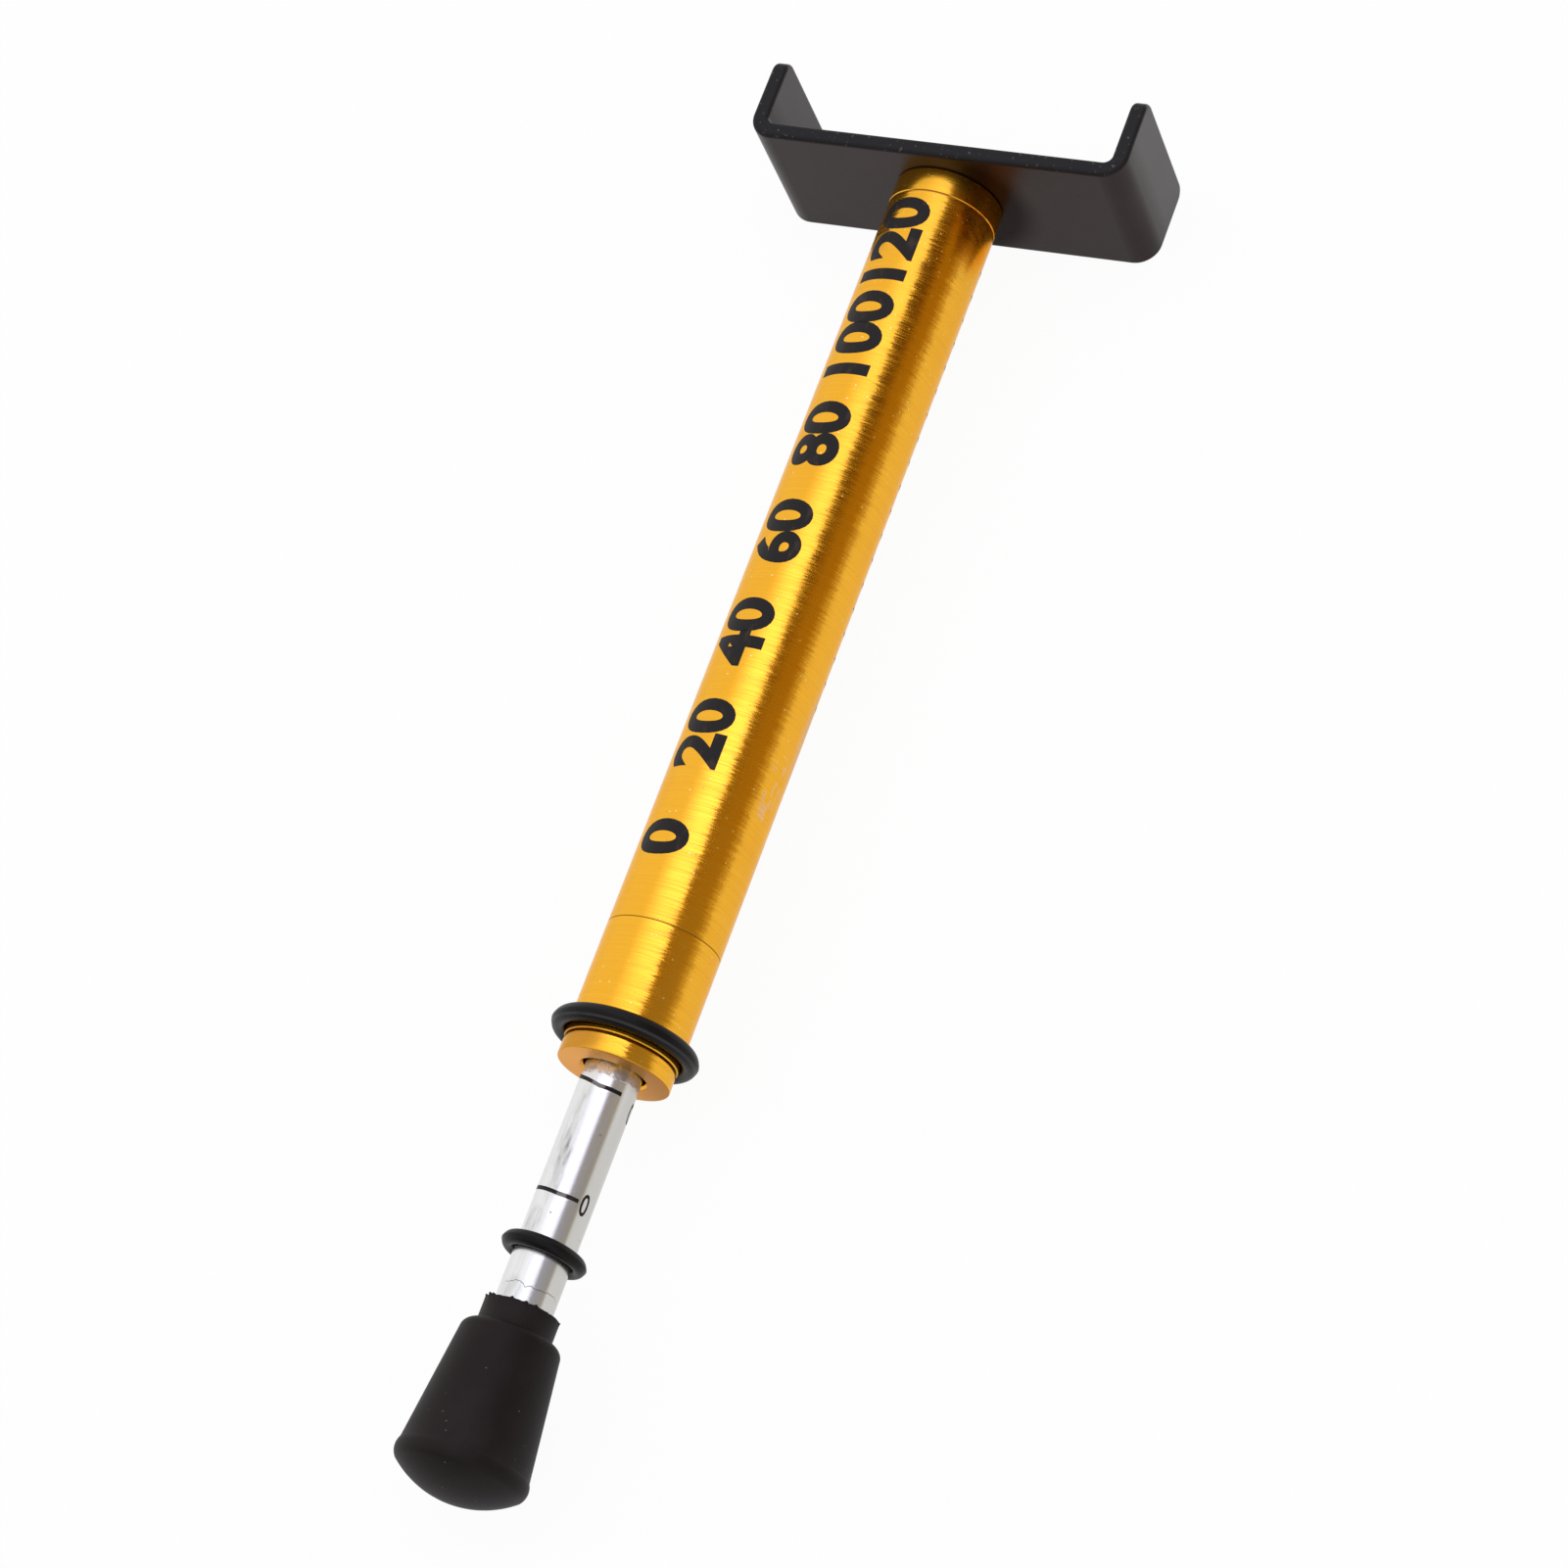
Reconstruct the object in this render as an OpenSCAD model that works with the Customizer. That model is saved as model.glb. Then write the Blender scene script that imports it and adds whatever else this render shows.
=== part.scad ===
// Belt tension tester: a sprung plunger in a round tube, with a U cradle that takes the belt.
// It lies along X on the edge of its cradle, with the rubber tip at -X and the cradle at +X.

/* [Tube and upper plug] */
// Outside diameter of the tube, the lower sleeve and the upper plug
tube_od = 20; // [19:0.5:26]
// Wall of the tube
tube_wall = 1.5; // [1:0.1:1.8]
// Length of the tube between its two seams
tube_len = 146.5; // [135:0.5:190]
// Chamfer on the turned edges
edge_chamfer = 0.25; // [0.1:0.05:0.4]
// Length of the upper plug that shows between tube and cradle
plug_flange_len = 5; // [3:0.1:8]
// Length of the upper plug inside the tube
plug_spigot_len = 8.5; // [6:0.5:12]

/* [Belt cradle] */
// Width over both legs
cradle_w = 72.7; // [55:0.1:110]
// Width of the bent strip
strip_w = 27.6; // [22:0.1:40]
// Thickness of the bent strip
strip_t = 3; // [2.8:0.1:4]
// Height of the legs, from the back of the base to their ends
leg_h = 16.9; // [12:0.1:40]
// Inside radius of the two bends
bend_r = 1.5; // [1:0.1:4]
// Rolled radius along the edges of the strip and round the ends of its legs
strip_edge_r = 0.8; // [0.2:0.1:1]
// Corner radius at the ends of the legs
leg_corner_r = 2.5; // [1.5:0.1:5]

/* [Cradle screw] */
// Thread diameter of the countersunk screw
cradle_screw_d = 5; // [4:0.1:6]
// Diameter of its head
cradle_head_d = 10; // [8:0.1:10]
// Length of its thread below the cradle
cradle_screw_len = 11; // [8:0.5:13]
// Hexagon socket, across corners
cradle_socket_d = 3.4; // [2.5:0.1:4]

/* [Lower sleeve and gland cap] */
// Length of the sleeve that shows
sleeve_len = 20.9; // [16:0.1:30]
// Length of the sleeve inside the tube
sleeve_spigot_len = 14; // [8:0.5:20]
// Height of the gland cap, groove included
cap_h = 3.55; // [2.5:0.05:6]
// Outside diameter of the gland cap
cap_od = 19.7; // [17:0.1:20]
// Width of the groove between cap and sleeve
groove_w = 0.35; // [0.2:0.05:0.8]
// Depth of the groove
groove_depth = 0.9; // [0.5:0.1:1.2]
// Length of the cap's spigot in the sleeve
cap_spigot_len = 7; // [4:0.5:10]
// Wall of the cap's spigot
cap_spigot_wall = 1.6; // [1:0.1:2]
// Play round the rod in the cap's bore
cap_play = 0.5; // [0.3:0.05:0.8]

/* [Plunger] */
// Diameter of the rod
rod_d = 10; // [8:0.1:10.5]
// Length of rod between rubber tip and gland cap at rest
rod_reach = 42.75; // [42:0.05:70]
// Length of rod held in the rubber tip
rod_in_tip = 20; // [12:0.5:24]
// Length of rod above the retaining clip
rod_tail = 50; // [30:0.5:55]
// Wall of the guide bush
bush_wall = 1.5; // [1:0.1:1.7]
// Thickness of the guide bush flange
bush_flange_t = 1.5; // [1:0.1:3]
// Thickness of the rubber buffer washer
buffer_t = 2; // [1:0.1:4]
// Radial width of the rubber buffer washer
buffer_wall = 2.4; // [1.5:0.1:2.6]
// Thickness of the retaining clip
clip_t = 1; // [0.8:0.1:1.5]
// Depth of the clip's groove in the rod
clip_groove_depth = 0.4; // [0.2:0.05:0.8]
// Radial width of the retaining clip
clip_wall = 1.8; // [1.2:0.1:2]

/* [Follower and spring] */
// Length of the follower that slides in the tube
follower_len = 9; // [8.5:0.1:14]
// Depth of the rod's seat in the follower
follower_seat_h = 3; // [2:0.1:3]
// Thread diameter of the follower screw
follower_screw_d = 4; // [3:0.1:5]
// Head diameter of the follower screw
follower_head_d = 7; // [5.5:0.1:7.5]
// Head height of the follower screw
follower_head_h = 4; // [3:0.1:4]
// Thread length of the follower screw in the rod
follower_screw_len = 10; // [6:0.5:16]
// Thickness of the thrust washer
thrust_t = 1; // [0.6:0.1:2]
// Hole in the thrust washer
thrust_id = 8.4; // [7.8:0.1:9.5]
// Wire diameter of the spring
wire_d = 1.6; // [1.2:0.1:1.8]
// Mean coil diameter of the spring
coil_d = 13.2; // [12.6:0.1:13.6]
// Turns of the spring, closed end turns included
spring_turns = 19; // [12:1:20]
// Thickness of the upper spring seat
seat_t = 1.2; // [0.8:0.1:2]
// Length of the seat's pilot in the spring
seat_pilot_len = 3; // [2:0.1:6]

/* [Marker rings] */
// Section of the ring on the rod
force_ring_section = 2.3; // [1.8:0.1:3]
// Distance of the ring on the rod from the rubber tip
force_ring_gap = 10.2; // [9.5:0.1:11]
// Section of the ring on the sleeve
deflection_ring_section = 2.8; // [2:0.1:3.4]
// Distance of the ring on the sleeve from the sleeve's end
deflection_ring_gap = 2.4; // [2.2:0.1:8]
// Height of the moulded parting ridge round both rings
ring_ridge = 0.12; // [0.05:0.01:0.2]

/* [Rubber tip] */
// Length of the rubber tip
tip_len = 33.1; // [30:0.1:45]
// Diameter of its neck
tip_neck_d = 12.8; // [12.6:0.1:15]
// Length of its neck
tip_neck_len = 4.1; // [2.5:0.1:7]
// Diameter at the shoulder under the neck
tip_shoulder_d = 17.2; // [16.8:0.1:20]
// Rounding of that shoulder
tip_shoulder_r = 1.8; // [1:0.1:1.9]
// Diameter at the end of the cone
tip_cone_d = 22.3; // [20:0.1:24]
// Diameter over the rim
tip_rim_d = 22.7; // [22.4:0.1:26]
// Rounding of the rim, which runs into the dome
tip_rim_r = 2.6; // [1.5:0.1:3.2]
// How far that rounding stands out of the dome
tip_rim_stand = 0.06; // [0.03:0.01:0.15]
// Radius of the domed end
tip_dome_r = 16.4; // [14:0.1:18]

/* [Fits] */
// Radial clearance of pieces that stay together
fit_clear = 0.03; // [0.02:0.01:0.05]
// Radial clearance of pieces that slide on each other
run_clear = 0.05; // [0.04:0.01:0.08]
// Radial clearance of loose inner pieces
loose_clear = 0.3; // [0.3:0.05:0.5]

/* [Hidden] */

// Radii that several pieces share
tube_r = tube_od / 2;
tube_bore_r = tube_r - tube_wall;
rod_r = rod_d / 2;
cap_bore_r = rod_r + cap_play;
cap_spigot_r = cap_bore_r + cap_spigot_wall;
bush_r = rod_r + run_clear + bush_wall;
spring_r = coil_d / 2;
spring_bore_r = spring_r - wire_d / 2;
force_ring_r = force_ring_section / 2;
deflection_ring_r = deflection_ring_section / 2;
bend_outer_r = bend_r + strip_t;

// Centre of the rim's rounding, where its circle meets the dome
tip_rim_mid_r = tip_rim_d / 2 - tip_rim_r;
tip_rim_reach = tip_dome_r - tip_rim_r + tip_rim_stand;
tip_rim_h = tip_dome_r - sqrt(pow(tip_rim_reach, 2) - pow(tip_rim_mid_r, 2));
tip_rim_meet_r = tip_rim_mid_r * tip_dome_r / tip_rim_reach;

// Places along the axis, counted from the end of the dome
z_neck = tip_len - tip_neck_len;
z_cap = tip_len + rod_reach;
z_sleeve = z_cap + cap_h;
z_tube = z_sleeve + sleeve_len;
z_bush_flange = z_tube + sleeve_spigot_len;
z_buffer = z_bush_flange + bush_flange_t;
z_clip = z_buffer + buffer_t;
z_rod_end = z_clip + clip_t + rod_tail;
z_follower = z_rod_end - follower_seat_h;
z_thrust = z_follower + follower_len;
z_spring = z_thrust + thrust_t;
z_plug = z_tube + tube_len;
z_seat = z_plug - plug_spigot_len - seat_t;
z_plate = z_plug + plug_flange_len;
z_screw_head = z_plate + strip_t;
overall_len = z_plate + leg_h;

// Height of the axis above the table, and the place of the dome's end along X
rest_h = max(strip_w / 2, tube_r + deflection_ring_section, tip_rim_d / 2);
x_start = -overall_len / 2;

round_fn = 128;
hole_fn = 64;
ring_fn = 48;

gold = [0.93, 0.66, 0.12];
black_coat = [0.16, 0.14, 0.14];
rubber = [0.09, 0.09, 0.09];
steel = [0.62, 0.63, 0.65];
bare_alu = [0.82, 0.82, 0.83];
white_nylon = [0.9, 0.89, 0.85];

// Lays a piece that was turned about Z along the X axis at its place in the gauge
module lay() {
    translate([x_start, 0, rest_h])
        rotate([0, 90, 0])
            children();
}

// Turned ring from z0 to z1, with a chamfer on both outer edges
module turned(r_out, r_in, z0, z1, chamfer = edge_chamfer) {
    rotate_extrude($fn = round_fn)
        polygon([
            [r_in, z0],
            [r_out - chamfer, z0],
            [r_out, z0 + chamfer],
            [r_out, z1 - chamfer],
            [r_out - chamfer, z1],
            [r_in, z1]
        ]);
}

module bore(r, z0, z1) {
    translate([0, 0, z0])
        cylinder(r = r, h = z1 - z0, $fn = hole_fn);
}

// Hexagon key socket that opens towards +Z at z_mouth
module key_socket(d, depth, z_mouth) {
    translate([0, 0, z_mouth - depth])
        cylinder(d = d, h = 2 * depth, $fn = 6);
}

// Belt cradle: one strip with rolled edges, bent round two corners
strip_half_w = strip_w / 2;
cradle_half_w = cradle_w / 2;
base_half_len = cradle_half_w - bend_outer_r;
leg_straight = leg_h - bend_outer_r;
screw_hole_r = cradle_screw_d / 2 + fit_clear;
head_h = (cradle_head_d - cradle_screw_d) / 2;

// Section of the strip: thickness along X from x0, width along Y
module strip_section(x0) {
    inner_t = strip_t - 2 * strip_edge_r;
    translate([x0, -strip_half_w + strip_edge_r])
        square([strip_t, strip_w - 2 * strip_edge_r]);
    translate([x0 + strip_edge_r, -strip_half_w])
        square([inner_t, strip_w]);
    for (x = [strip_edge_r, strip_t - strip_edge_r], side = [-1, 1])
        translate([x0 + x, side * (strip_half_w - strip_edge_r)])
            circle(r = strip_edge_r, $fn = ring_fn);
}

// Section across the end of a leg: length along X, thickness along Y, rolled at the far side
module rolled_end() {
    square([leg_corner_r - strip_edge_r, strip_t]);
    translate([0, strip_edge_r])
        square([leg_corner_r, strip_t - 2 * strip_edge_r]);
    for (y = [strip_edge_r, strip_t - strip_edge_r])
        translate([leg_corner_r - strip_edge_r, y])
            circle(r = strip_edge_r, $fn = ring_fn);
}

// Leg along +X, with its outer face at y = 0 and its thickness towards -Y
module cradle_leg() {
    corner_z = strip_half_w - leg_corner_r;
    rotate([0, 90, 0])
        rotate([0, 0, 90])
            linear_extrude(leg_straight - leg_corner_r)
                strip_section(-strip_t);
    translate([leg_straight - leg_corner_r, 0, 0]) {
        translate([0, -strip_t, -corner_z])
            linear_extrude(2 * corner_z)
                rolled_end();
        leg_corner(corner_z);
        mirror([0, 0, 1])
            leg_corner(corner_z);
    }
}

// Rounded corner of a leg: the rolled end turned a quarter about the corner's centre
module leg_corner(corner_z) {
    translate([0, 0, corner_z])
        rotate([90, 0, 0])
            rotate_extrude(angle = 90, $fn = round_fn)
                rolled_end();
}

// Quarter bend about Z, with the leg's side towards +Y
module cradle_bend() {
    rotate([0, 0, 90])
        rotate_extrude(angle = 90, $fn = round_fn)
            strip_section(bend_r);
}

module cradle_half() {
    translate([bend_outer_r, base_half_len, 0])
        cradle_bend();
    translate([bend_outer_r, cradle_half_w, 0])
        cradle_leg();
}

module belt_cradle() {
    color(black_coat)
        difference() {
            translate([x_start + z_plate, 0, rest_h]) {
                translate([0, base_half_len, 0])
                    rotate([90, 0, 0])
                        linear_extrude(2 * base_half_len)
                            strip_section(0);
                cradle_half();
                mirror([0, 1, 0])
                    cradle_half();
            }
            lay() {
                bore(screw_hole_r, z_plate - strip_t, z_screw_head + strip_t);
                translate([0, 0, z_screw_head - head_h])
                    cylinder(r1 = screw_hole_r, r2 = screw_hole_r + head_h, h = head_h, $fn = hole_fn);
                bore(screw_hole_r + head_h, z_screw_head, z_screw_head + strip_t);
            }
        }
}

module cradle_screw() {
    shank_r = cradle_screw_d / 2;
    color(steel)
        lay()
            difference() {
                rotate_extrude($fn = hole_fn)
                    polygon([
                        [0, z_plate - cradle_screw_len],
                        [shank_r - edge_chamfer, z_plate - cradle_screw_len],
                        [shank_r, z_plate - cradle_screw_len + edge_chamfer],
                        [shank_r, z_screw_head - head_h],
                        [cradle_head_d / 2, z_screw_head],
                        [0, z_screw_head]
                    ]);
                key_socket(cradle_socket_d, head_h * 0.8, z_screw_head);
            }
}

module upper_plug() {
    color(gold)
        lay()
            difference() {
                union() {
                    turned(tube_r, 0, z_plug, z_plate);
                    turned(tube_bore_r - fit_clear, 0, z_plug - plug_spigot_len, z_plug + edge_chamfer);
                }
                bore(screw_hole_r, z_plug - plug_spigot_len - 1, z_plate + 1);
            }
}

// Seat with a short pilot that keeps the upper end of the spring on the axis
module spring_seat() {
    pilot_r = spring_bore_r - loose_clear;
    color(steel)
        lay()
            difference() {
                union() {
                    turned(tube_bore_r - loose_clear, 0, z_seat, z_seat + seat_t, edge_chamfer / 2);
                    turned(pilot_r, 0, z_seat - seat_pilot_len, z_seat + edge_chamfer);
                }
                bore(screw_hole_r + loose_clear, z_seat - seat_pilot_len - 1, z_seat + seat_t + 1);
            }
}

module body_tube() {
    color(gold)
        lay()
            turned(tube_r, tube_bore_r, z_tube, z_plug);
}

module lower_sleeve() {
    color(gold)
        lay()
            difference() {
                union() {
                    turned(tube_r, 0, z_sleeve, z_tube);
                    turned(tube_bore_r - fit_clear, 0, z_tube - edge_chamfer, z_bush_flange);
                }
                bore(bush_r + fit_clear, z_sleeve - 1, z_bush_flange + 1);
                bore(cap_spigot_r + fit_clear, z_sleeve - 1, z_sleeve + cap_spigot_len + fit_clear);
            }
}

// Flanged bush that carries the rod in the sleeve
module guide_bush() {
    flange_r = tube_bore_r - loose_clear;
    color(white_nylon)
        lay()
            difference() {
                union() {
                    turned(bush_r, 0, z_sleeve + cap_spigot_len + loose_clear, z_bush_flange + edge_chamfer);
                    turned(flange_r, 0, z_bush_flange, z_buffer);
                }
                bore(rod_r + run_clear, z_sleeve, z_buffer + 1);
            }
}

module gland_cap() {
    groove_r = tube_r - groove_depth;
    color(gold)
        lay()
            difference() {
                union() {
                    turned(cap_od / 2, 0, z_cap, z_sleeve - groove_w);
                    turned(groove_r, 0, z_sleeve - groove_w - edge_chamfer, z_sleeve, 0.01);
                    turned(cap_spigot_r, 0, z_sleeve - edge_chamfer, z_sleeve + cap_spigot_len);
                }
                bore(cap_bore_r, z_cap - 1, z_sleeve + cap_spigot_len + 1);
                translate([0, 0, z_cap])
                    cylinder(r1 = cap_bore_r + edge_chamfer, r2 = cap_bore_r, h = edge_chamfer, $fn = hole_fn);
            }
}

// Compression spring: a round wire swept along a helix with one closed turn at each end
wire_sides = 8;
turn_steps = 16;
closed_pitch = wire_d + fit_clear;
spring_h = z_seat - z_spring - wire_d - 2 * fit_clear;
open_pitch = (spring_h - 2 * closed_pitch) / (spring_turns - 2);

// Height of the wire's centre line after a number of turns
function helix_h(turn) =
    closed_pitch * (min(turn, 1) + max(turn - spring_turns + 1, 0))
    + open_pitch * min(max(turn - 1, 0), spring_turns - 2);

// Point on the wire's surface, at an angle round its own section
function wire_point(turn, section_a) =
    let (
        reach = spring_r + wire_d / 2 * cos(section_a),
        rise = wire_d / 2 * sin(section_a)
    )
    [reach * cos(360 * turn), reach * sin(360 * turn), helix_h(turn) + rise];

module compression_spring() {
    rings = spring_turns * turn_steps;
    points = [
        for (ring = [0 : rings], side = [0 : wire_sides - 1])
            wire_point(ring / turn_steps, 360 * side / wire_sides)
    ];
    walls = [
        for (ring = [0 : rings - 1], side = [0 : wire_sides - 1])
            let (
                next = (side + 1) % wire_sides,
                low = ring * wire_sides,
                high = low + wire_sides
            )
            [low + side, low + next, high + next, high + side]
    ];
    first_end = [for (side = [wire_sides - 1 : -1 : 0]) side];
    last_end = [for (side = [0 : wire_sides - 1]) rings * wire_sides + side];
    color(steel)
        lay()
            translate([0, 0, z_spring + wire_d / 2 + fit_clear])
                polyhedron(points, concat(walls, [first_end, last_end]));
}

module thrust_washer() {
    color(steel)
        lay()
            turned(tube_bore_r - loose_clear, thrust_id / 2, z_thrust, z_spring, edge_chamfer / 2);
}

// Follower: a short piston on the rod's inner end, with a grease groove round it
follower_r = tube_bore_r - run_clear;
grease_groove_depth = 0.4;
grease_groove_len = follower_len / 3;

module follower() {
    groove_z = z_follower + follower_len / 3;
    color(white_nylon)
        lay()
            difference() {
                turned(follower_r, 0, z_follower, z_thrust);
                difference() {
                    bore(follower_r + 1, groove_z, groove_z + grease_groove_len);
                    bore(follower_r - grease_groove_depth, groove_z - 1, groove_z + grease_groove_len + 1);
                }
                bore(rod_r + fit_clear, z_follower - 1, z_rod_end);
                bore(follower_screw_d / 2 + fit_clear, z_follower, z_thrust);
                bore(follower_head_d / 2 + loose_clear, z_thrust - follower_head_h - fit_clear, z_thrust + 1);
            }
}

module follower_screw() {
    head_z = z_thrust - follower_head_h - fit_clear;
    shank_r = follower_screw_d / 2;
    color(steel)
        lay()
            difference() {
                union() {
                    turned(follower_head_d / 2, 0, head_z, head_z + follower_head_h);
                    turned(shank_r, 0, z_rod_end - follower_screw_len, head_z + edge_chamfer);
                }
                key_socket(shank_r * 1.7, follower_head_h / 2, head_z + follower_head_h);
            }
}

module plunger_rod() {
    clip_r = rod_r - clip_groove_depth;
    hole_end = z_rod_end - follower_screw_len - 1;
    color(bare_alu)
        lay()
            difference() {
                turned(rod_r, 0, tip_len - rod_in_tip, z_rod_end);
                difference() {
                    bore(rod_r + 1, z_clip - fit_clear, z_clip + clip_t + fit_clear);
                    bore(clip_r, z_clip - 1, z_clip + clip_t + 1);
                }
                bore(follower_screw_d / 2 + fit_clear, hole_end, z_rod_end + 1);
            }
}

// Retaining clip: an open spring ring with two eyes for the pliers
module retaining_clip() {
    inner_r = rod_r - clip_groove_depth + fit_clear;
    outer_r = inner_r + clip_wall;
    mid_r = inner_r + clip_wall * 0.75;
    eye_r = clip_wall * 0.75;
    mouth_w = rod_d * 0.35;
    eye_a = asin((mouth_w / 2 + eye_r) / mid_r);
    color(steel)
        lay()
            translate([0, 0, z_clip])
                linear_extrude(clip_t)
                    difference() {
                        union() {
                            difference() {
                                circle(r = outer_r, $fn = hole_fn);
                                translate([0, -mouth_w / 2])
                                    square([rod_d, mouth_w]);
                            }
                            for (side = [-1, 1])
                                rotate(side * eye_a)
                                    translate([mid_r, 0])
                                        circle(r = eye_r, $fn = ring_fn);
                        }
                        circle(r = inner_r, $fn = hole_fn);
                        for (side = [-1, 1])
                            rotate(side * eye_a)
                                translate([mid_r, 0])
                                    circle(r = eye_r / 2, $fn = ring_fn);
                    }
}

module buffer_washer() {
    color(rubber)
        lay()
            turned(rod_r + fit_clear + buffer_wall, rod_r + fit_clear, z_buffer, z_clip);
}

// Outline of the rubber tip: neck, rounded shoulder, cone, rim and domed end
module tip_outline() {
    shoulder_r = tip_shoulder_d / 2;
    difference() {
        union() {
            polygon([
                [0, 0],
                [tip_rim_meet_r, 0],
                [tip_rim_meet_r, tip_rim_h],
                [tip_cone_d / 2, tip_rim_h],
                [shoulder_r, z_neck - tip_shoulder_r],
                [shoulder_r - tip_shoulder_r, z_neck],
                [tip_neck_d / 2, z_neck],
                [tip_neck_d / 2, tip_len],
                [0, tip_len]
            ]);
            translate([tip_rim_mid_r, tip_rim_h])
                circle(r = tip_rim_r, $fn = ring_fn);
            translate([shoulder_r - tip_shoulder_r, z_neck - tip_shoulder_r])
                circle(r = tip_shoulder_r, $fn = ring_fn);
        }
        difference() {
            translate([0, -tip_rim_h])
                square([tip_rim_d, 2 * tip_rim_h]);
            translate([0, tip_dome_r])
                circle(r = tip_dome_r, $fn = round_fn);
        }
        translate([0, tip_len - rod_in_tip])
            square([rod_r + fit_clear, tip_len]);
    }
}

module rubber_tip() {
    color(rubber)
        lay()
            rotate_extrude($fn = round_fn)
                intersection() {
                    tip_outline();
                    translate([0, -tip_len])
                        square([tip_rim_d, 3 * tip_len]);
                }
}

// Marker ring that grips a round bar, with its parting ridge
module marker_ring(bar_r, section_r, z) {
    middle_r = bar_r + run_clear + section_r;
    translate([0, 0, z])
        rotate_extrude($fn = round_fn)
            translate([middle_r, 0]) {
                circle(r = section_r, $fn = ring_fn);
                polygon([
                    [section_r * cos(25), -section_r * sin(25)],
                    [section_r + ring_ridge, 0],
                    [section_r * cos(25), section_r * sin(25)]
                ]);
            }
}

module force_ring() {
    color(rubber)
        lay()
            marker_ring(rod_r, force_ring_r, tip_len + force_ring_gap);
}

module deflection_ring() {
    color(rubber)
        lay()
            marker_ring(tube_r, deflection_ring_r, z_sleeve + deflection_ring_gap);
}

belt_cradle();
cradle_screw();
upper_plug();
spring_seat();
body_tube();
lower_sleeve();
guide_bush();
gland_cap();
compression_spring();
thrust_washer();
follower();
follower_screw();
plunger_rod();
retaining_clip();
buffer_washer();
rubber_tip();
force_ring();
deflection_ring();
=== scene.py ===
import bpy
import bmesh
import numpy as np
from mathutils import Matrix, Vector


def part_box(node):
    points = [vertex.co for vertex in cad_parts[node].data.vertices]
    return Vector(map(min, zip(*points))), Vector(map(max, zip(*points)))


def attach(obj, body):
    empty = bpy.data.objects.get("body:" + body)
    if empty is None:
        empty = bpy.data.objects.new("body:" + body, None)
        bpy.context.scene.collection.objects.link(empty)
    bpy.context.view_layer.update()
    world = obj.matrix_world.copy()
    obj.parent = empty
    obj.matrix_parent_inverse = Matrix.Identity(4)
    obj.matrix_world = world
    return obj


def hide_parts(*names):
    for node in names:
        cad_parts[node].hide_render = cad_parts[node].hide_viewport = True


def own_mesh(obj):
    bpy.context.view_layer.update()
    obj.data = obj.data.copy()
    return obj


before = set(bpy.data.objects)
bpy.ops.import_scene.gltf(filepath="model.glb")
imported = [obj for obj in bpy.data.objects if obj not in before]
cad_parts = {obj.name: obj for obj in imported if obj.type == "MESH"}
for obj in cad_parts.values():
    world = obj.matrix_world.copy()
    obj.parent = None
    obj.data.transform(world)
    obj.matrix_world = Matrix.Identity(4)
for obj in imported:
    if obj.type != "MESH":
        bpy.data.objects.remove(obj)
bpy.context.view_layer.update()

axisHeight = 0.0138  # the gauge's axis runs along X at this height
print("frame loaded:", len(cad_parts), "nodes")


# One socket of a node tree; arithmetic on it adds Math nodes
class Flow:
    def __init__(self, tree, socket=None):
        self.tree = tree
        self.socket = socket

    def node(self, kind, settings=None, sockets=None, out=0):
        made = self.tree.nodes.new("ShaderNode" + kind)
        for name, value in (settings or {}).items():
            setattr(made, name, value)
        for key, value in (sockets or {}).items():
            if isinstance(value, Flow):
                self.tree.links.new(value.socket, made.inputs[key])
            else:
                made.inputs[key].default_value = value
        return Flow(self.tree, made.outputs[out] if made.outputs else None)

    def other(self, out):
        return Flow(self.tree, self.socket.node.outputs[out])

    def calc(self, operation, *values):
        return self.node("Math", {"operation": operation}, dict(enumerate(values)))

    def __add__(self, value):
        return self.calc("ADD", self, value)

    def __radd__(self, value):
        return self.calc("ADD", value, self)

    def __sub__(self, value):
        return self.calc("SUBTRACT", self, value)

    def __rsub__(self, value):
        return self.calc("SUBTRACT", value, self)

    def __mul__(self, value):
        return self.calc("MULTIPLY", self, value)


# Small pieces of node work that the finishes share
def newFinish(name):
    finish = bpy.data.materials.new(name)
    finish.use_nodes = True
    finish.node_tree.nodes.clear()
    flow = Flow(finish.node_tree)
    return finish, flow, flow.node("TexCoord", out="Object")


def closeFinish(flow, sockets):
    shader = flow.node("BsdfPrincipled", {}, sockets)
    flow.node("OutputMaterial", {}, {"Surface": shader})


def splitPlace(place):  # X of a place; its other(1) and other(2) are Y and Z
    return place.node("SeparateXYZ", {}, {0: place})


def grain(place, stretch, detail=2.0):  # noise with its own scale along X, Y and Z, per metre
    spread = place.node("Mapping", {}, {"Vector": place, "Scale": stretch})
    return place.node("TexNoise", {}, {"Vector": spread, "Scale": 1.0, "Detail": detail})


def ease(value, low, high):  # 0 below low, 1 above high, smooth between; low may be the larger
    settings = {"interpolation_type": "SMOOTHSTEP"}
    return value.node("MapRange", settings, {"Value": value, "From Min": low, "From Max": high})


def lineAt(value, middle, outer, inner):  # 1 within inner of the middle, 0 beyond outer
    offset = value - middle
    return ease(offset.calc("ABSOLUTE", offset), outer, inner)


def fromAxis(parts):  # distance from the gauge's axis
    side = parts.other(1)
    height = parts.other(2) - axisHeight
    return height.calc("SQRT", height * height + side * side)


def blendTone(share, first, second):
    return share.node("Mix", {"data_type": "RGBA"}, {0: share, 6: first, 7: second}, out=2)


def specks(place, pitch, size, share):  # a round speck in a share of the cells of a Voronoi pattern
    near = place.node("TexVoronoi", {}, {"Vector": place, "Scale": 1.0 / pitch})
    cell = near.node("SeparateColor", {}, {0: near.other("Color")})
    return ease(near, size, size * 0.6) * ease(cell, 1.0 - share, 1.0 - share + 0.01)


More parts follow.
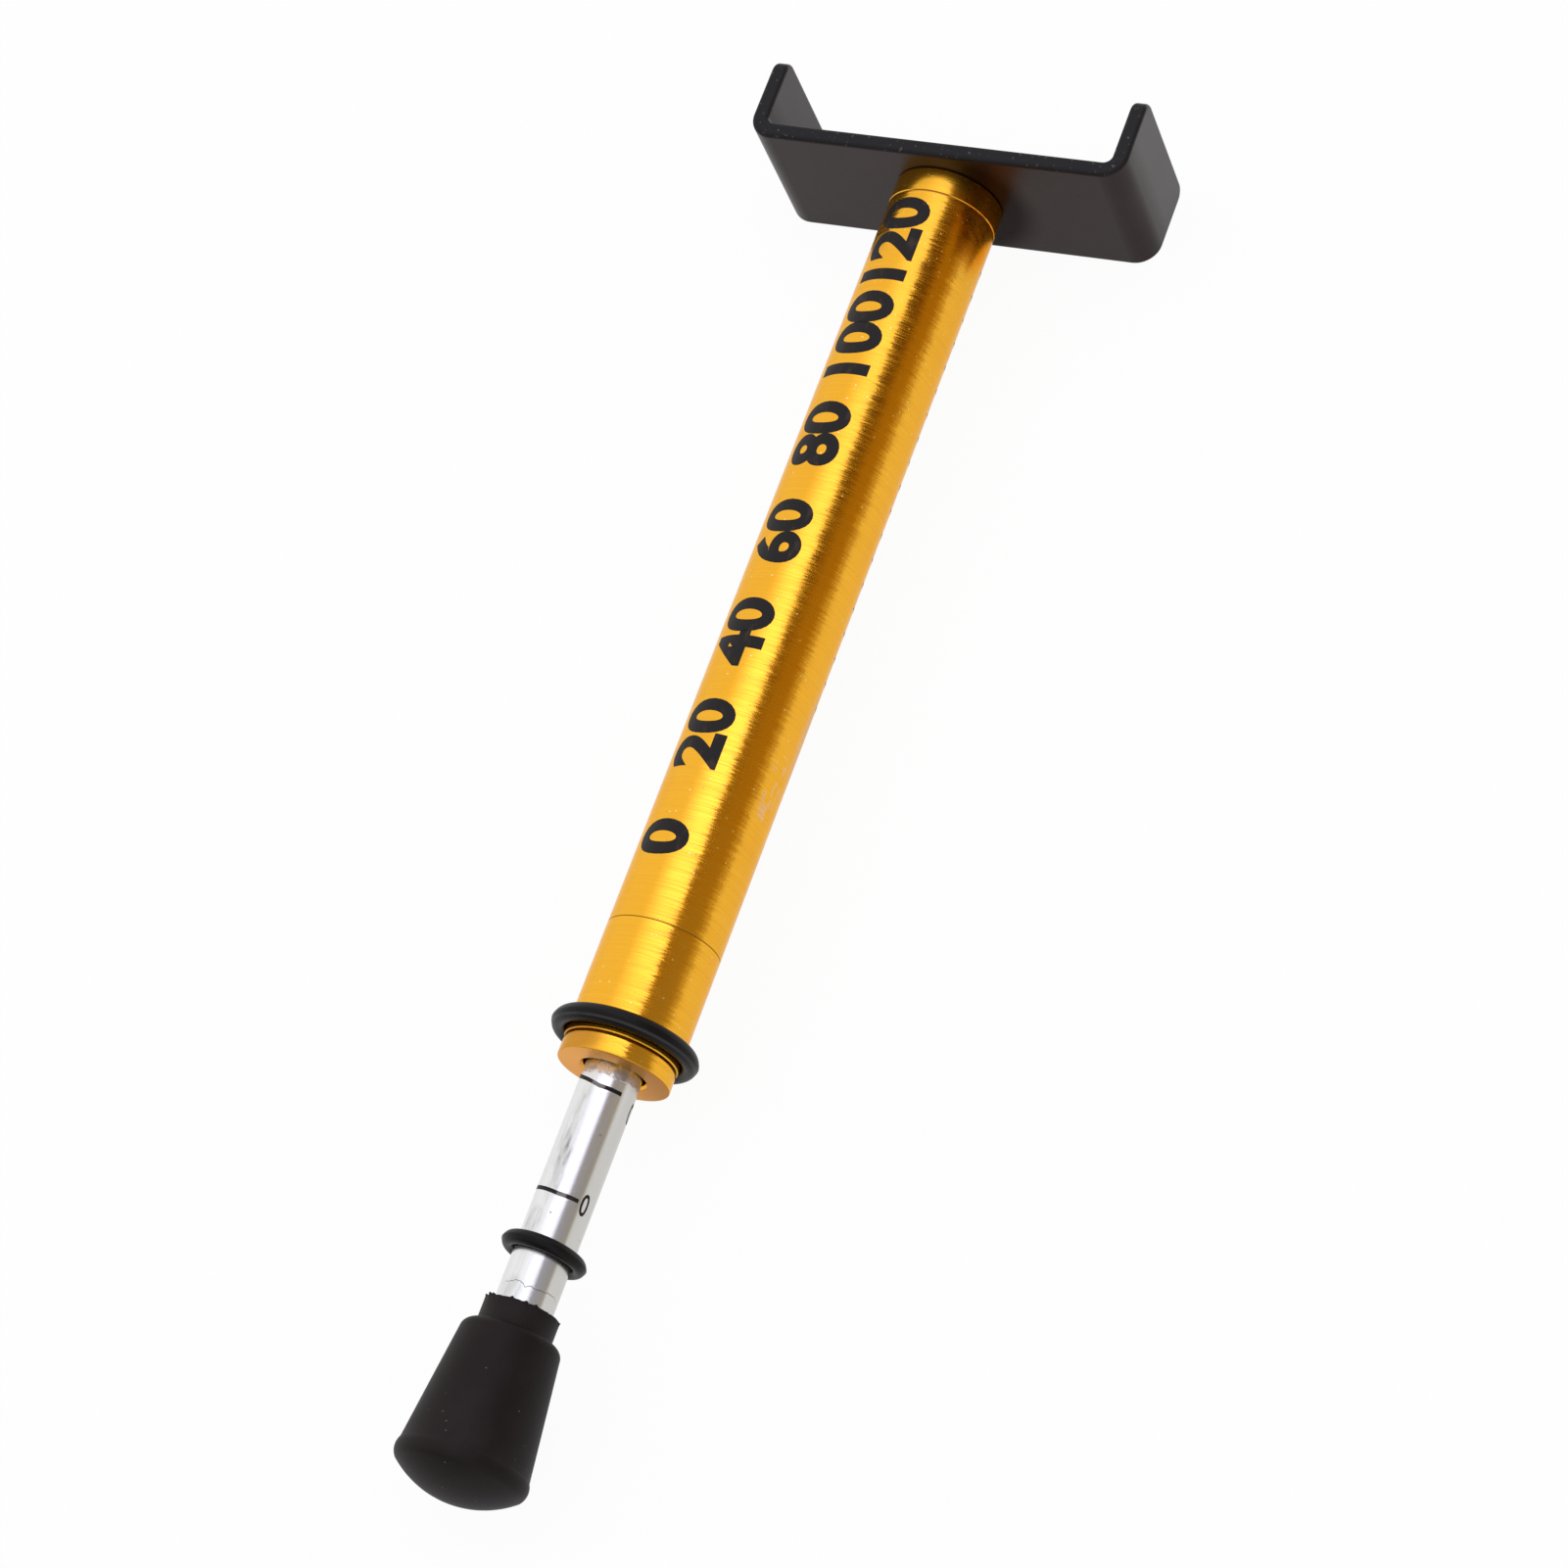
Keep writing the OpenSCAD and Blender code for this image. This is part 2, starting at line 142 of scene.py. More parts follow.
# Soft patch on a turned piece: x and angle of its middle, and its half length along and round the piece
def around(place, x, halfX, angle, halfAngle):
    parts = splitPlace(place)
    facing = np.radians(angle)
    y = parts.other(1)
    z = parts.other(2) - axisHeight
    aside = z * np.cos(facing) - y * np.sin(facing)
    ahead = y * np.cos(facing) + z * np.sin(facing)
    turn = y.calc("ARCTAN2", aside, ahead)
    along = (parts - x) * (1.0 / halfX)
    across = turn * (1.0 / np.radians(halfAngle))
    return ease(along * along + across * across, 1.0, 0.25)


def bumped(height, distance):
    return height.node("Bump", {}, {"Strength": 1.0, "Distance": distance, "Height": height})


# Places along the gauge that the finishes use
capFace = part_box("gland_cap")[0].x
rubStart = capFace - 0.0021
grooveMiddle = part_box("lower_sleeve")[0].x - 0.00018
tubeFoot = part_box("body_tube")[0].x
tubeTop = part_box("body_tube")[1].x
ringMiddle = (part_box("deflection_ring")[0].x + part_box("deflection_ring")[1].x) / 2

# Finishes: tones, grains (scales per metre), patches (x, half length, angle, half angle), specks (pitch,
# size, share) and lines (where they fade out, where they are full)
goldTones = {
    "bright": (0.91, 0.455, 0.022, 1), "deep": (0.85, 0.375, 0.012, 1), "stain": (0.92, 0.26, 0.006, 1),
    "spot": (0.46, 0.12, 0.008, 1), "face": (0.80, 0.36, 0.075, 1), "faceShade": (0.46, 0.17, 0.015, 1),
    "scuff": (0.90, 0.56, 0.24, 1), "glint": (1.0, 0.85, 0.40, 1), "seam": (0.46, 0.25, 0.14, 1),
    "rub": (0.86, 0.52, 0.22, 1), "jointAndGrooveShade": (0.16, 0.07, 0.01, 1), "mirror": (1.0, 0.80, 0.45, 1),
}
goldGrains = {
    "lines": (6500, 30, 30), "pores": (3200, 3200, 3200), "cloud": (40, 120, 120), "stain": (750, 650, 650),
    "spots": (900, 750, 750), "scuff": (420, 800, 800), "rub": (90, 500, 500), "lean": (3400, 170, 170),
}
goldPatches = {
    "stain": (0.1125, 0.0130, 162, 42), "spots": (0.1100, 0.0052, 152, 30),
    "scuff": (-0.0040, 0.0085, 170, 17), "rub": (0.0085, 0.0115, 194, 15),
    "paintedCapShade": (capFace + 0.0020, 0.0040, 45, 60),
}
goldSpecks = {"pits": (0.0013, 0.13, 0.16), "glints": (0.0014, 0.15, 0.28), "topGlints": (0.0010, 0.17, 0.34)}
goldLines = {"seam": (0.00012, 0.00006), "jointAndGrooveShade": (0.00013, 0.00007), "groove": (0.00024, 0.00014)}
goldRelief = 0.000012


def goldFinish():
    finish, flow, place = newFinish("goldAnodised")
    parts = splitPlace(place)
    lines = ease(grain(place, goldGrains["lines"]), 0.35, 0.65)  # very fine turning lines round the tube
    pores = grain(place, goldGrains["pores"])
    cloud = ease(grain(place, goldGrains["cloud"], 3.0), 0.45, 0.75)
    tone = blendTone(lines * 0.35 + cloud * 0.3, goldTones["bright"], goldTones["deep"])
    stainWhere = around(place, *goldPatches["stain"])
    stain = stainWhere * ease(grain(place, goldGrains["stain"], 4.0), 0.22, 0.50)  # browned beside the cradle
    tone = blendTone(stain * 0.85, tone, goldTones["stain"])
    spots = around(place, *goldPatches["spots"]) * ease(grain(place, goldGrains["spots"], 4.0), 0.45, 0.60)
    tone = blendTone(spots * 0.60, tone, goldTones["spot"])
    scuff = around(place, *goldPatches["scuff"]) * ease(grain(place, goldGrains["scuff"], 4.0), 0.50, 0.60)
    tone = blendTone(scuff * 0.8, tone, goldTones["scuff"])
    rub = around(place, *goldPatches["rub"]) * ease(grain(place, goldGrains["rub"], 3.0), 0.28, 0.55)
    tone = blendTone(rub * 0.8, tone, goldTones["rub"])  # pale streak where the tube was rubbed
    face = ease(parts, capFace + 0.00012, capFace + 0.00006)  # turned end face of the gland cap
    # painted shade: the cap's end face darker towards -Y, standing in for the darker surroundings it reflects
    faceToneWithPaintedShade = blendTone(ease(parts.other(1), 0.003, -0.009), goldTones["face"], goldTones["faceShade"])
    tone = blendTone(face, tone, faceToneWithPaintedShade)
    seam = lineAt(parts, tubeTop, *goldLines["seam"])  # dull line where the tube meets its plug
    tone = blendTone(seam * 0.8, tone, goldTones["seam"])
    groove = lineAt(parts, grooveMiddle, *goldLines["groove"])  # painted shade: a dark line in the groove above the cap
    jointAndGrooveShade = lineAt(parts, tubeFoot, *goldLines["jointAndGrooveShade"]) + groove  # and a dark joint line where the sleeve meets the tube
    tone = blendTone(jointAndGrooveShade * 0.75 + groove * 0.20, tone, goldTones["jointAndGrooveShade"])
    paintedCapShade = around(place, *goldPatches["paintedCapShade"]) * (1.0 - face)  # painted shade: the cap darker on one side
    tone = blendTone(paintedCapShade * 0.7, tone, goldTones["faceShade"])
    pits = specks(place, *goldSpecks["pits"])
    tone = blendTone(pits * 0.30, tone, goldTones["spot"])
    glints = specks(place, *goldSpecks["glints"])
    glints = glints + specks(place, *goldSpecks["topGlints"]) * ease(parts, 0.055, 0.095)
    tone = blendTone(glints * 0.6, tone, goldTones["glint"])
    turned = (1.0 - stainWhere * 0.85) * (1.0 - ease(parts, tubeTop - 0.0001, tubeTop) * 0.65)
    rough = 0.15 + lines * turned * 0.13 + (1.0 - turned) * 0.08
    rough = rough + stain * 0.06 + scuff * 0.25 + rub * 0.22 + face * 0.22 + seam * 0.2 + jointAndGrooveShade * 0.3
    bump = bumped(pores * 0.5 - pits * 0.6 + glints * 1.6, goldRelief)
    # each turning line leans the reflection a little round the tube
    side = flow.node("VectorMath", {"operation": "CROSS_PRODUCT"}, {0: (1, 0, 0), 1: bump})
    lean = (grain(place, goldGrains["lean"], 3.0) - 0.5) * 0.24 * turned
    lean = flow.node("VectorMath", {"operation": "SCALE"}, {0: side, "Scale": lean})
    normal = flow.node("VectorMath", {"operation": "ADD"}, {0: bump, 1: lean})
    normal = flow.node("VectorMath", {"operation": "NORMALIZE"}, {0: normal})
    closeFinish(flow, {
        "Base Color": tone, "Roughness": rough, "Metallic": 1.0, "Normal": normal,
        "Specular Tint": goldTones["mirror"], "Coat Weight": (0.35 - stain * 0.3) * (1.0 - jointAndGrooveShade),
        "Coat Roughness": 0.16, "Coat IOR": 1.45,
    })
    return finish


rodTones = {
    "bare": (0.82, 0.82, 0.82, 1), "dull": (0.68, 0.68, 0.67, 1), "grime": (0.16, 0.16, 0.14, 1),
    "paintedFlankShade": (0.58, 0.565, 0.53, 1),
}
rodGrains = {
    "drawn": (50, 3000, 3000), "cloud": (300, 1300, 1300), "fine": (2200, 2200, 2200),
    "smear": (170, 600, 600), "ragged": (300, 300, 300), "rubbedAndPaintedLight": (700, 900, 900), "wave": (1, 330, 330),
}
rodPatches = {"paintedFlankShade": (-0.085, 0.05, 185, 55), "scratch": (-0.0982, 0.004, 118, 75)}
rodSmudges = (
    (-0.0720, 0.012, 78, 22), (-0.0780, 0.007, 84, 20), (-0.0872, 0.003, 67, 26), (-0.0999, 0.0035, 78, 30))
rodDirt = (0.0019, 0.11, 0.10)
rodScratch = {"line": (0.00010, 0.00004), "sway": 0.0050}
rodRub = {"ragged": 0.0010, "border": 0.00012}
rodRelief = 0.000012


def rodFinish():
    finish, flow, place = newFinish("bareAluminium")
    parts = splitPlace(place)
    drawn = grain(place, rodGrains["drawn"], 3.0)  # drawing lines along the rod
    cloud = grain(place, rodGrains["cloud"], 5.0)
    fine = grain(place, rodGrains["fine"], 3.0)
    tone = blendTone(ease(drawn, 0.4, 0.7) * 0.30, rodTones["bare"], rodTones["dull"])
    paintedFlankShade = around(place, *rodPatches["paintedFlankShade"])  # painted shade: duller and warmer along one side, standing in for the shaded floor it reflects
    tone = blendTone(paintedFlankShade * 0.8, tone, rodTones["paintedFlankShade"])
    smudge = around(place, *rodSmudges[0])
    for patch in rodSmudges[1:]:
        smudge = smudge + around(place, *patch)
    smear = ease(grain(place, rodGrains["smear"], 3.0), 0.35, 0.65)
    smudge = smudge * (ease(cloud, 0.44, 0.74) * 0.6 + smear * 0.4)
    tone = blendTone(smudge * 0.50, tone, rodTones["grime"])
    tone = blendTone(specks(place, *rodDirt) * 0.7, tone, rodTones["grime"])
    ragged = (grain(place, rodGrains["ragged"], 3.0) - 0.5) * rodRub["ragged"]
    rubbedAndPaintedLight = ease(parts + ragged, rubStart, rubStart + rodRub["border"])  # rubbed by the gland cap
    rubTone = rubbedAndPaintedLight * ease(grain(place, rodGrains["rubbedAndPaintedLight"], 4.0), 0.40, 0.66)
    tone = blendTone(rubTone * 0.45, tone, rodTones["grime"])
    wave = (grain(place, rodGrains["wave"], 3.0) - 0.5) * rodScratch["sway"]
    scratch = lineAt(parts + wave, rodPatches["scratch"][0], *rodScratch["line"])
    scratch = scratch * around(place, *rodPatches["scratch"])
    tone = blendTone(scratch * 0.8, tone, rodTones["grime"])
    relief = drawn * 0.4 + fine * 0.3 - scratch * 1.5 + rubbedAndPaintedLight * 3.0 + rubTone * 2.0
    closeFinish(flow, {
        "Base Color": tone, "Roughness": 0.21 + drawn * 0.08 + smudge * 0.20 + rubTone * 0.2, "Metallic": 1.0,
        "Normal": bumped(relief, rodRelief),
    })
    return finish


coatTones = {
    "coat": (0.0160, 0.0062, 0.0060, 1), "worn": (0.026, 0.014, 0.014, 1), "dust": (0.42, 0.40, 0.38, 1),
    "edge": (0.0095, 0.0085, 0.0098, 1), "nick": (0.10, 0.095, 0.10, 1), "rubbedAndPaintedLight": (0.075, 0.066, 0.068, 1),
    "paintedTubeShade": (0.0075, 0.0020, 0.0014, 1),
}
coatGrains = {"peel": (900, 900, 900), "cloud": (90, 90, 90), "nicks": (1300, 1300, 1300)}
coatDust = (0.0036, 0.050, 0.22)
coatPlaces = {"edge": (0.0130, 0.0136), "paintedTubeShadeReach": (0.0185, 0.0125), "paintedTubeShadeSide": (-0.001, -0.007),
              "paintedShadeSide": (-0.002, -0.014), "legs": (0.1215, 0.1270)}
coatRelief = {"skin": 0.000012, "shorn": 0.000030}


def coatFinish():
    finish, flow, place = newFinish("blackCoat")
    parts = splitPlace(place)
    side = parts.other(1)
    height = parts.other(2) - axisHeight
    peel = grain(place, coatGrains["peel"])
    cloud = grain(place, coatGrains["cloud"], 4.0)
    dust = specks(place, *coatDust)
    paintedTubeShade = ease(fromAxis(parts), *coatPlaces["paintedTubeShadeReach"]) * ease(side, *coatPlaces["paintedTubeShadeSide"])
    # painted shade: the plate's reflection weaker beside the plug and towards -Y
    paintedShadeDim = paintedTubeShade * 0.75 + ease(side, *coatPlaces["paintedShadeSide"]) * (1.0 - paintedTubeShade) * 0.14
    tone = blendTone(ease(cloud, 0.4, 0.75) * 0.5, coatTones["coat"], coatTones["worn"])
    tone = blendTone(paintedTubeShade * 0.9, tone, coatTones["paintedTubeShade"])  # painted shade: dark on one side of the plug, the tube's shaded side reflected in the plate
    tone = blendTone(ease(parts, *coatPlaces["legs"]) * 0.8, tone, coatTones["rubbedAndPaintedLight"])  # painted reflection: the legs lighter, standing in for the bright floor they reflect
    tone = blendTone(dust * 0.7, tone, coatTones["dust"])
    skin = {
        "Base Color": tone, "Roughness": 0.27 + cloud * 0.10, "Metallic": 0.0,
        "Specular IOR Level": (1.0 - paintedShadeDim) * 0.22, "Normal": bumped(peel, coatRelief["skin"]),
    }
    nicks = ease(grain(place, coatGrains["nicks"], 4.0), 0.63, 0.70)
    edgeTone = blendTone(nicks * 0.6, coatTones["edge"], coatTones["nick"])
    edgeTone = blendTone(dust * 0.35, edgeTone, coatTones["dust"])
    shorn = {
        "Base Color": edgeTone, "Roughness": 0.48 + cloud * 0.14, "Metallic": 0.0, "Specular IOR Level": 0.16,
        "Normal": bumped(peel * 0.7 + nicks * 0.8, coatRelief["shorn"]),
    }
    edge = ease(height.calc("ABSOLUTE", height), *coatPlaces["edge"])  # both sheared edges of the strip
    both = {0: edge, 1: flow.node("BsdfPrincipled", {}, skin), 2: flow.node("BsdfPrincipled", {}, shorn)}
    flow.node("OutputMaterial", {}, {"Surface": flow.node("MixShader", {}, both)})
    return finish


# Rubber of the tip, and a blacker one for the rings; the large ring has a painted highlight, a paler line at
# a distance from the axis and some way below the ring's middle
rubberTones = {"dust": (0.40, 0.37, 0.34, 1), "rubbedAndPaintedLight": (0.032, 0.029, 0.030, 1)}
rubberGrains = {"skin": (1500, 1500, 1500), "cloud": (140, 140, 140)}
rubberDust = (0.0015, 0.075)
rubberRelief = 0.000030
tipRubber = {
    "name": "mouldedRubber", "black": (0.0100, 0.0066, 0.0068, 1), "grey": (0.0165, 0.0120, 0.0122, 1),
    "dust": 0.24, "rough": 0.46, "shine": 0.13, "rubbedAndPaintedLight": False,
}
ringRubber = {
    "name": "ringRubber", "black": (0.00439, 0.00337, 0.00374, 1), "grey": (0.005365, 0.00418, 0.00455, 1),
    "dust": 0.14, "rough": 0.32, "shine": 0.15, "rubbedAndPaintedLight": True,
}
paintedRidgeHighlight = {"reach": 0.012583, "below": 0.001130, "line": (0.00036, 0.00008)}


def rubberFinish(shape):
    finish, flow, place = newFinish(shape["name"])
    skin = grain(place, rubberGrains["skin"], 3.0)
    cloud = grain(place, rubberGrains["cloud"], 4.0)
    tone = blendTone(ease(cloud, 0.4, 0.75) * 0.6, shape["black"], shape["grey"])
    # painted highlight: a paler line along the large ring's parting ridge
    if shape["rubbedAndPaintedLight"]:
        parts = splitPlace(place)
        offsetX = parts - (ringMiddle - paintedRidgeHighlight["below"])
        offset = fromAxis(parts) - paintedRidgeHighlight["reach"]
        offset = offset.calc("SQRT", offset * offset + offsetX * offsetX)
        rubbedAndPaintedLight = ease(offset, *paintedRidgeHighlight["line"]) * ease(cloud, 0.30, 0.55)
        tone = blendTone(rubbedAndPaintedLight, tone, rubberTones["rubbedAndPaintedLight"])
    tone = blendTone(specks(place, *rubberDust, shape["dust"]) * 0.42, tone, rubberTones["dust"])
    closeFinish(flow, {
        "Base Color": tone, "Roughness": shape["rough"] + cloud * 0.14, "Metallic": 0.0,
        "Specular IOR Level": shape["shine"], "Normal": bumped(skin, rubberRelief),
    })
    return finish


inkTones = {
    "ink": (0.0120, 0.0095, 0.0098, 1), "thin": (0.050, 0.034, 0.024, 1), "worn": (0.24, 0.23, 0.22, 1),
}
inkGrains = {"cloud": (300, 500, 500), "worn": (900, 900, 900), "skin": (2400, 2400, 2400)}
inkRelief = 0.000010
rodInkWorn = ((-0.0624, 0.003, 97, 17), (-0.0821, 0.003, 107, 12))


def inkFinish(name, wornPatches=()):
    finish, flow, place = newFinish(name)
    cloud = grain(place, inkGrains["cloud"], 4.0)
    tone = blendTone(ease(cloud, 0.55, 0.75) * 0.7, inkTones["ink"], inkTones["thin"])
    for patch in wornPatches:
        worn = around(place, *patch) * ease(grain(place, inkGrains["worn"], 3.0), 0.30, 0.50)
        tone = blendTone(worn * 0.75, tone, inkTones["worn"])
    closeFinish(flow, {
        "Base Color": tone, "Roughness": 0.40 + cloud * 0.14, "Metallic": 0.0, "Specular IOR Level": 0.14,
        "Normal": bumped(grain(place, inkGrains["skin"]), inkRelief),
    })
    return finish


steelTones = {"steel": (0.55, 0.55, 0.56, 1), "dark": (0.36, 0.36, 0.37, 1)}
steelGrains = {"lines": (2600, 300, 300), "cloud": (300, 300, 300)}
steelRelief = 0.000010


def steelFinish(name, rough):
    finish, flow, place = newFinish(name)
    lines = grain(place, steelGrains["lines"], 3.0)
    cloud = grain(place, steelGrains["cloud"], 4.0)
    tone = blendTone(ease(lines * 0.5 + cloud * 0.5, 0.35, 0.7), steelTones["steel"], steelTones["dark"])
    closeFinish(flow, {
        "Base Color": tone, "Roughness": rough + cloud * 0.15, "Metallic": 1.0,
        "Normal": bumped(lines, steelRelief),
    })
    return finish


nylonTones = {"white": (0.72, 0.70, 0.63, 1), "shade": (0.58, 0.55, 0.48, 1)}
nylonGrains = {"lines": (1800, 200, 200), "cloud": (250, 250, 250)}
nylonRelief = 0.000015


def nylonFinish():
    finish, flow, place = newFinish("whiteNylon")
    lines = grain(place, nylonGrains["lines"], 3.0)
    cloud = grain(place, nylonGrains["cloud"], 4.0)
    tone = blendTone(ease(lines * 0.4 + cloud * 0.6, 0.4, 0.75), nylonTones["white"], nylonTones["shade"])
    closeFinish(flow, {
        "Base Color": tone, "Roughness": 0.45 + cloud * 0.15, "Metallic": 0.0,
        "Normal": bumped(lines, nylonRelief),
    })
    return finish


gold = goldFinish()
bareRod = rodFinish()
coat = coatFinish()
rubber = rubberFinish(tipRubber)
blackRubber = rubberFinish(ringRubber)
ink = inkFinish("blackInk")
rodInk = inkFinish("rodInk", rodInkWorn)
steel = steelFinish("innerSteel", 0.25)
screwSteel = steelFinish("screwSteel", 0.18)
nylon = nylonFinish()
print("finishes made:", len(bpy.data.materials))


# Path through corners (x, r, rounding) in mm; a rounding becomes the arc that touches both runs at the corner
def roundedPath(corners, arcSteps=6):
    corners = np.array(corners, float)
    runs = []
    for i, (x, r, rounding) in enumerate(corners):
        here = np.array([x, r])
        if rounding == 0:
            runs.append(here[None])
            continue
        back = corners[i - 1, :2] - here
        ahead = corners[(i + 1) % len(corners), :2] - here
        back = back / np.linalg.norm(back)
        ahead = ahead / np.linalg.norm(ahead)
        half = np.arccos(np.clip(back @ ahead, -1, 1)) / 2
        spread = back + ahead
        # the arc's middle lies on the bisector, at the rounding over the sine of half the corner's angle
        middle = here + spread / np.linalg.norm(spread) * rounding / np.sin(half)
        start = here + back * rounding / np.tan(half) - middle
        end = here + ahead * rounding / np.tan(half) - middle
        turn = np.arctan2(start[0] * end[1] - start[1] * end[0], start @ end)
        angles = np.linspace(0, turn, arcSteps + 1)[:, None]
        runs.append(middle + np.cos(angles) * start + np.sin(angles) * np.array([-start[1], start[0]]))
    return np.concatenate(runs)


# Two corners just inside the ends of a run, which keep its shading straight
def straight(start, end, radius, edge=0.4):
    return [(start + edge, radius, 0), (end - edge, radius, 0)]


# Surface of revolution: path point i (x, r, in mm) turned about the gauge's axis by angle j
def turnedGrid(path, segments):
    angles = np.arange(segments) * 2 * np.pi / segments
    x = np.repeat(path[:, :1], segments, axis=1)
    y = path[:, 1:] * np.cos(angles)
    z = path[:, 1:] * np.sin(angles)
    return np.stack([x, y, z], axis=2)


# Puts grids of points (mm, about the axis) into one closed mesh; each grid says if its rows and columns wrap
def makePiece(name, grids, finish, body, stands=(), sharpDeg=40):
    points = []
    quads = []
    base = 0
    for grid, wrapRows, wrapColumns in grids:
        rows, columns = grid.shape[:2]
        index = np.arange(rows * columns).reshape(rows, columns) + base
        base += rows * columns
        if wrapRows:
            index = np.vstack([index, index[:1]])
        if wrapColumns:
            index = np.hstack([index, index[:, :1]])
        corners = [index[:-1, :-1], index[:-1, 1:], index[1:, 1:], index[1:, :-1]]
        quads.append(np.stack(corners, axis=2).reshape(-1, 4))
        points.append(grid.reshape(-1, 3))
    points = np.concatenate(points) * 0.001 + np.array([0, 0, axisHeight])
    mesh = bpy.data.meshes.new(name)
    mesh.from_pydata(points.tolist(), [], np.concatenate(quads).tolist())
    work = bmesh.new()
    work.from_mesh(mesh)
    bmesh.ops.remove_doubles(work, verts=work.verts, dist=1e-7)
    bmesh.ops.recalc_face_normals(work, faces=work.faces)
    work.to_mesh(mesh)
    work.free()
    mesh.shade_smooth()
    mesh.set_sharp_from_angle(angle=np.radians(sharpDeg))
    return addPiece(name, mesh, finish, body, stands)


def addPiece(name, mesh, finish, body, stands=()):
    mesh.materials.clear()
    mesh.materials.append(finish)
    piece = bpy.data.objects.new(name, mesh)
    bpy.context.scene.collection.objects.link(piece)
    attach(piece, body)
    if stands:
        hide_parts(*stands)
    return piece


def spanOf(node):  # start, end and radius of a turned node, in mm
    low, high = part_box(node)
    return low.x * 1000, high.x * 1000, (high.y - low.y) * 500


# Tube, sleeve and gland cap: turned rings with rounded edges
tubeShape = {"bore": 8.5, "edge": 0.06, "segments": 288}
tubeStart, tubeEnd, tubeRadius = spanOf("body_tube")
tubePath = roundedPath([
    (tubeStart, tubeRadius, tubeShape["edge"]), *straight(tubeStart, tubeEnd, tubeRadius),
    (tubeEnd, tubeRadius, tubeShape["edge"]),
    (tubeEnd, tubeShape["bore"], 0), (tubeStart, tubeShape["bore"], 0),
])
makePiece("tubeShell", [(turnedGrid(tubePath, tubeShape["segments"]), True, True)],
          gold, "housing", ["body_tube"])

sleeveShape = {"spigot": 8.47, "bore": 6.58, "recess": 7.13, "recessDepth": 7.03, "edge": 0.25,
               "spigotEdge": 0.2, "segments": 288}
sleeveStart, sleeveEnd, sleeveRadius = spanOf("lower_sleeve")
recessEnd = sleeveStart + sleeveShape["recessDepth"]
sleevePath = roundedPath([
    (sleeveStart, sleeveRadius, sleeveShape["edge"]), *straight(sleeveStart, tubeStart, sleeveRadius),
    (tubeStart, sleeveRadius, tubeShape["edge"]), (tubeStart, sleeveShape["spigot"], 0),
    (sleeveEnd, sleeveShape["spigot"], sleeveShape["spigotEdge"]), (sleeveEnd, sleeveShape["bore"], 0),
    (recessEnd, sleeveShape["bore"], 0), (recessEnd, sleeveShape["recess"], 0),
    (sleeveStart, sleeveShape["recess"], 0),
])
makePiece("sleeveShell", [(turnedGrid(sleevePath, sleeveShape["segments"]), True, True)],
          gold, "housing", ["lower_sleeve"])

capShape = {"groove": 0.35, "grooveRadius": 9.1, "spigot": 7.1, "bore": 5.5, "bevel": 0.5, "edge": 0.25,
            "backEdge": 0.15, "grooveEdge": 0.05, "spigotEdge": 0.2, "boreEdge": 0.1, "bevelEdge": 0.06,
            "segments": 288}
capStart, capEnd, capRadius = spanOf("gland_cap")
capBack = sleeveStart - capShape["groove"]
capPath = roundedPath([
    (capStart, capRadius, capShape["edge"]), *straight(capStart, capBack, capRadius),
    (capBack, capRadius, capShape["backEdge"]), (capBack, capShape["grooveRadius"], capShape["grooveEdge"]),
    (sleeveStart, capShape["grooveRadius"], 0), (sleeveStart, capShape["spigot"], 0),
    (capEnd, capShape["spigot"], capShape["spigotEdge"]), (capEnd, capShape["bore"], 0),
    (capStart + capShape["bevel"], capShape["bore"], capShape["boreEdge"]),
    (capStart, capShape["bore"] + capShape["bevel"], capShape["bevelEdge"]),
])
makePiece("glandCap", [(turnedGrid(capPath, capShape["segments"]), True, True)],
          gold, "housing", ["gland_cap"])
print("tube, sleeve and cap turned")


# Rod: turned bar with a clip groove and a tapped hole in its inner end
rodShape = {"clipStart": -16.58, "clipEnd": -15.52, "clipRadius": 4.6, "hole": 2.03, "holeDepth": 11.0,
            "edge": 0.25, "segments": 224}
rodStart, rodEnd, rodRadius = spanOf("plunger_rod")
holeStart = rodEnd - rodShape["holeDepth"]
rodPath = roundedPath([
    (rodStart, 0, 0), (rodStart, rodRadius, rodShape["edge"]),
    *straight(rodStart, rodShape["clipStart"], rodRadius),
    (rodShape["clipStart"], rodRadius, 0), (rodShape["clipStart"], rodShape["clipRadius"], 0),
    (rodShape["clipEnd"], rodShape["clipRadius"], 0), (rodShape["clipEnd"], rodRadius, 0),
    *straight(rodShape["clipEnd"], rodEnd, rodRadius),
    (rodEnd, rodRadius, rodShape["edge"]), (rodEnd, rodShape["hole"], 0), (holeStart, rodShape["hole"], 0),
    (holeStart, 0, 0),
])
makePiece("rodBar", [(turnedGrid(rodPath, rodShape["segments"]), False, True)],
          bareRod, "plunger", ["plunger_rod"])


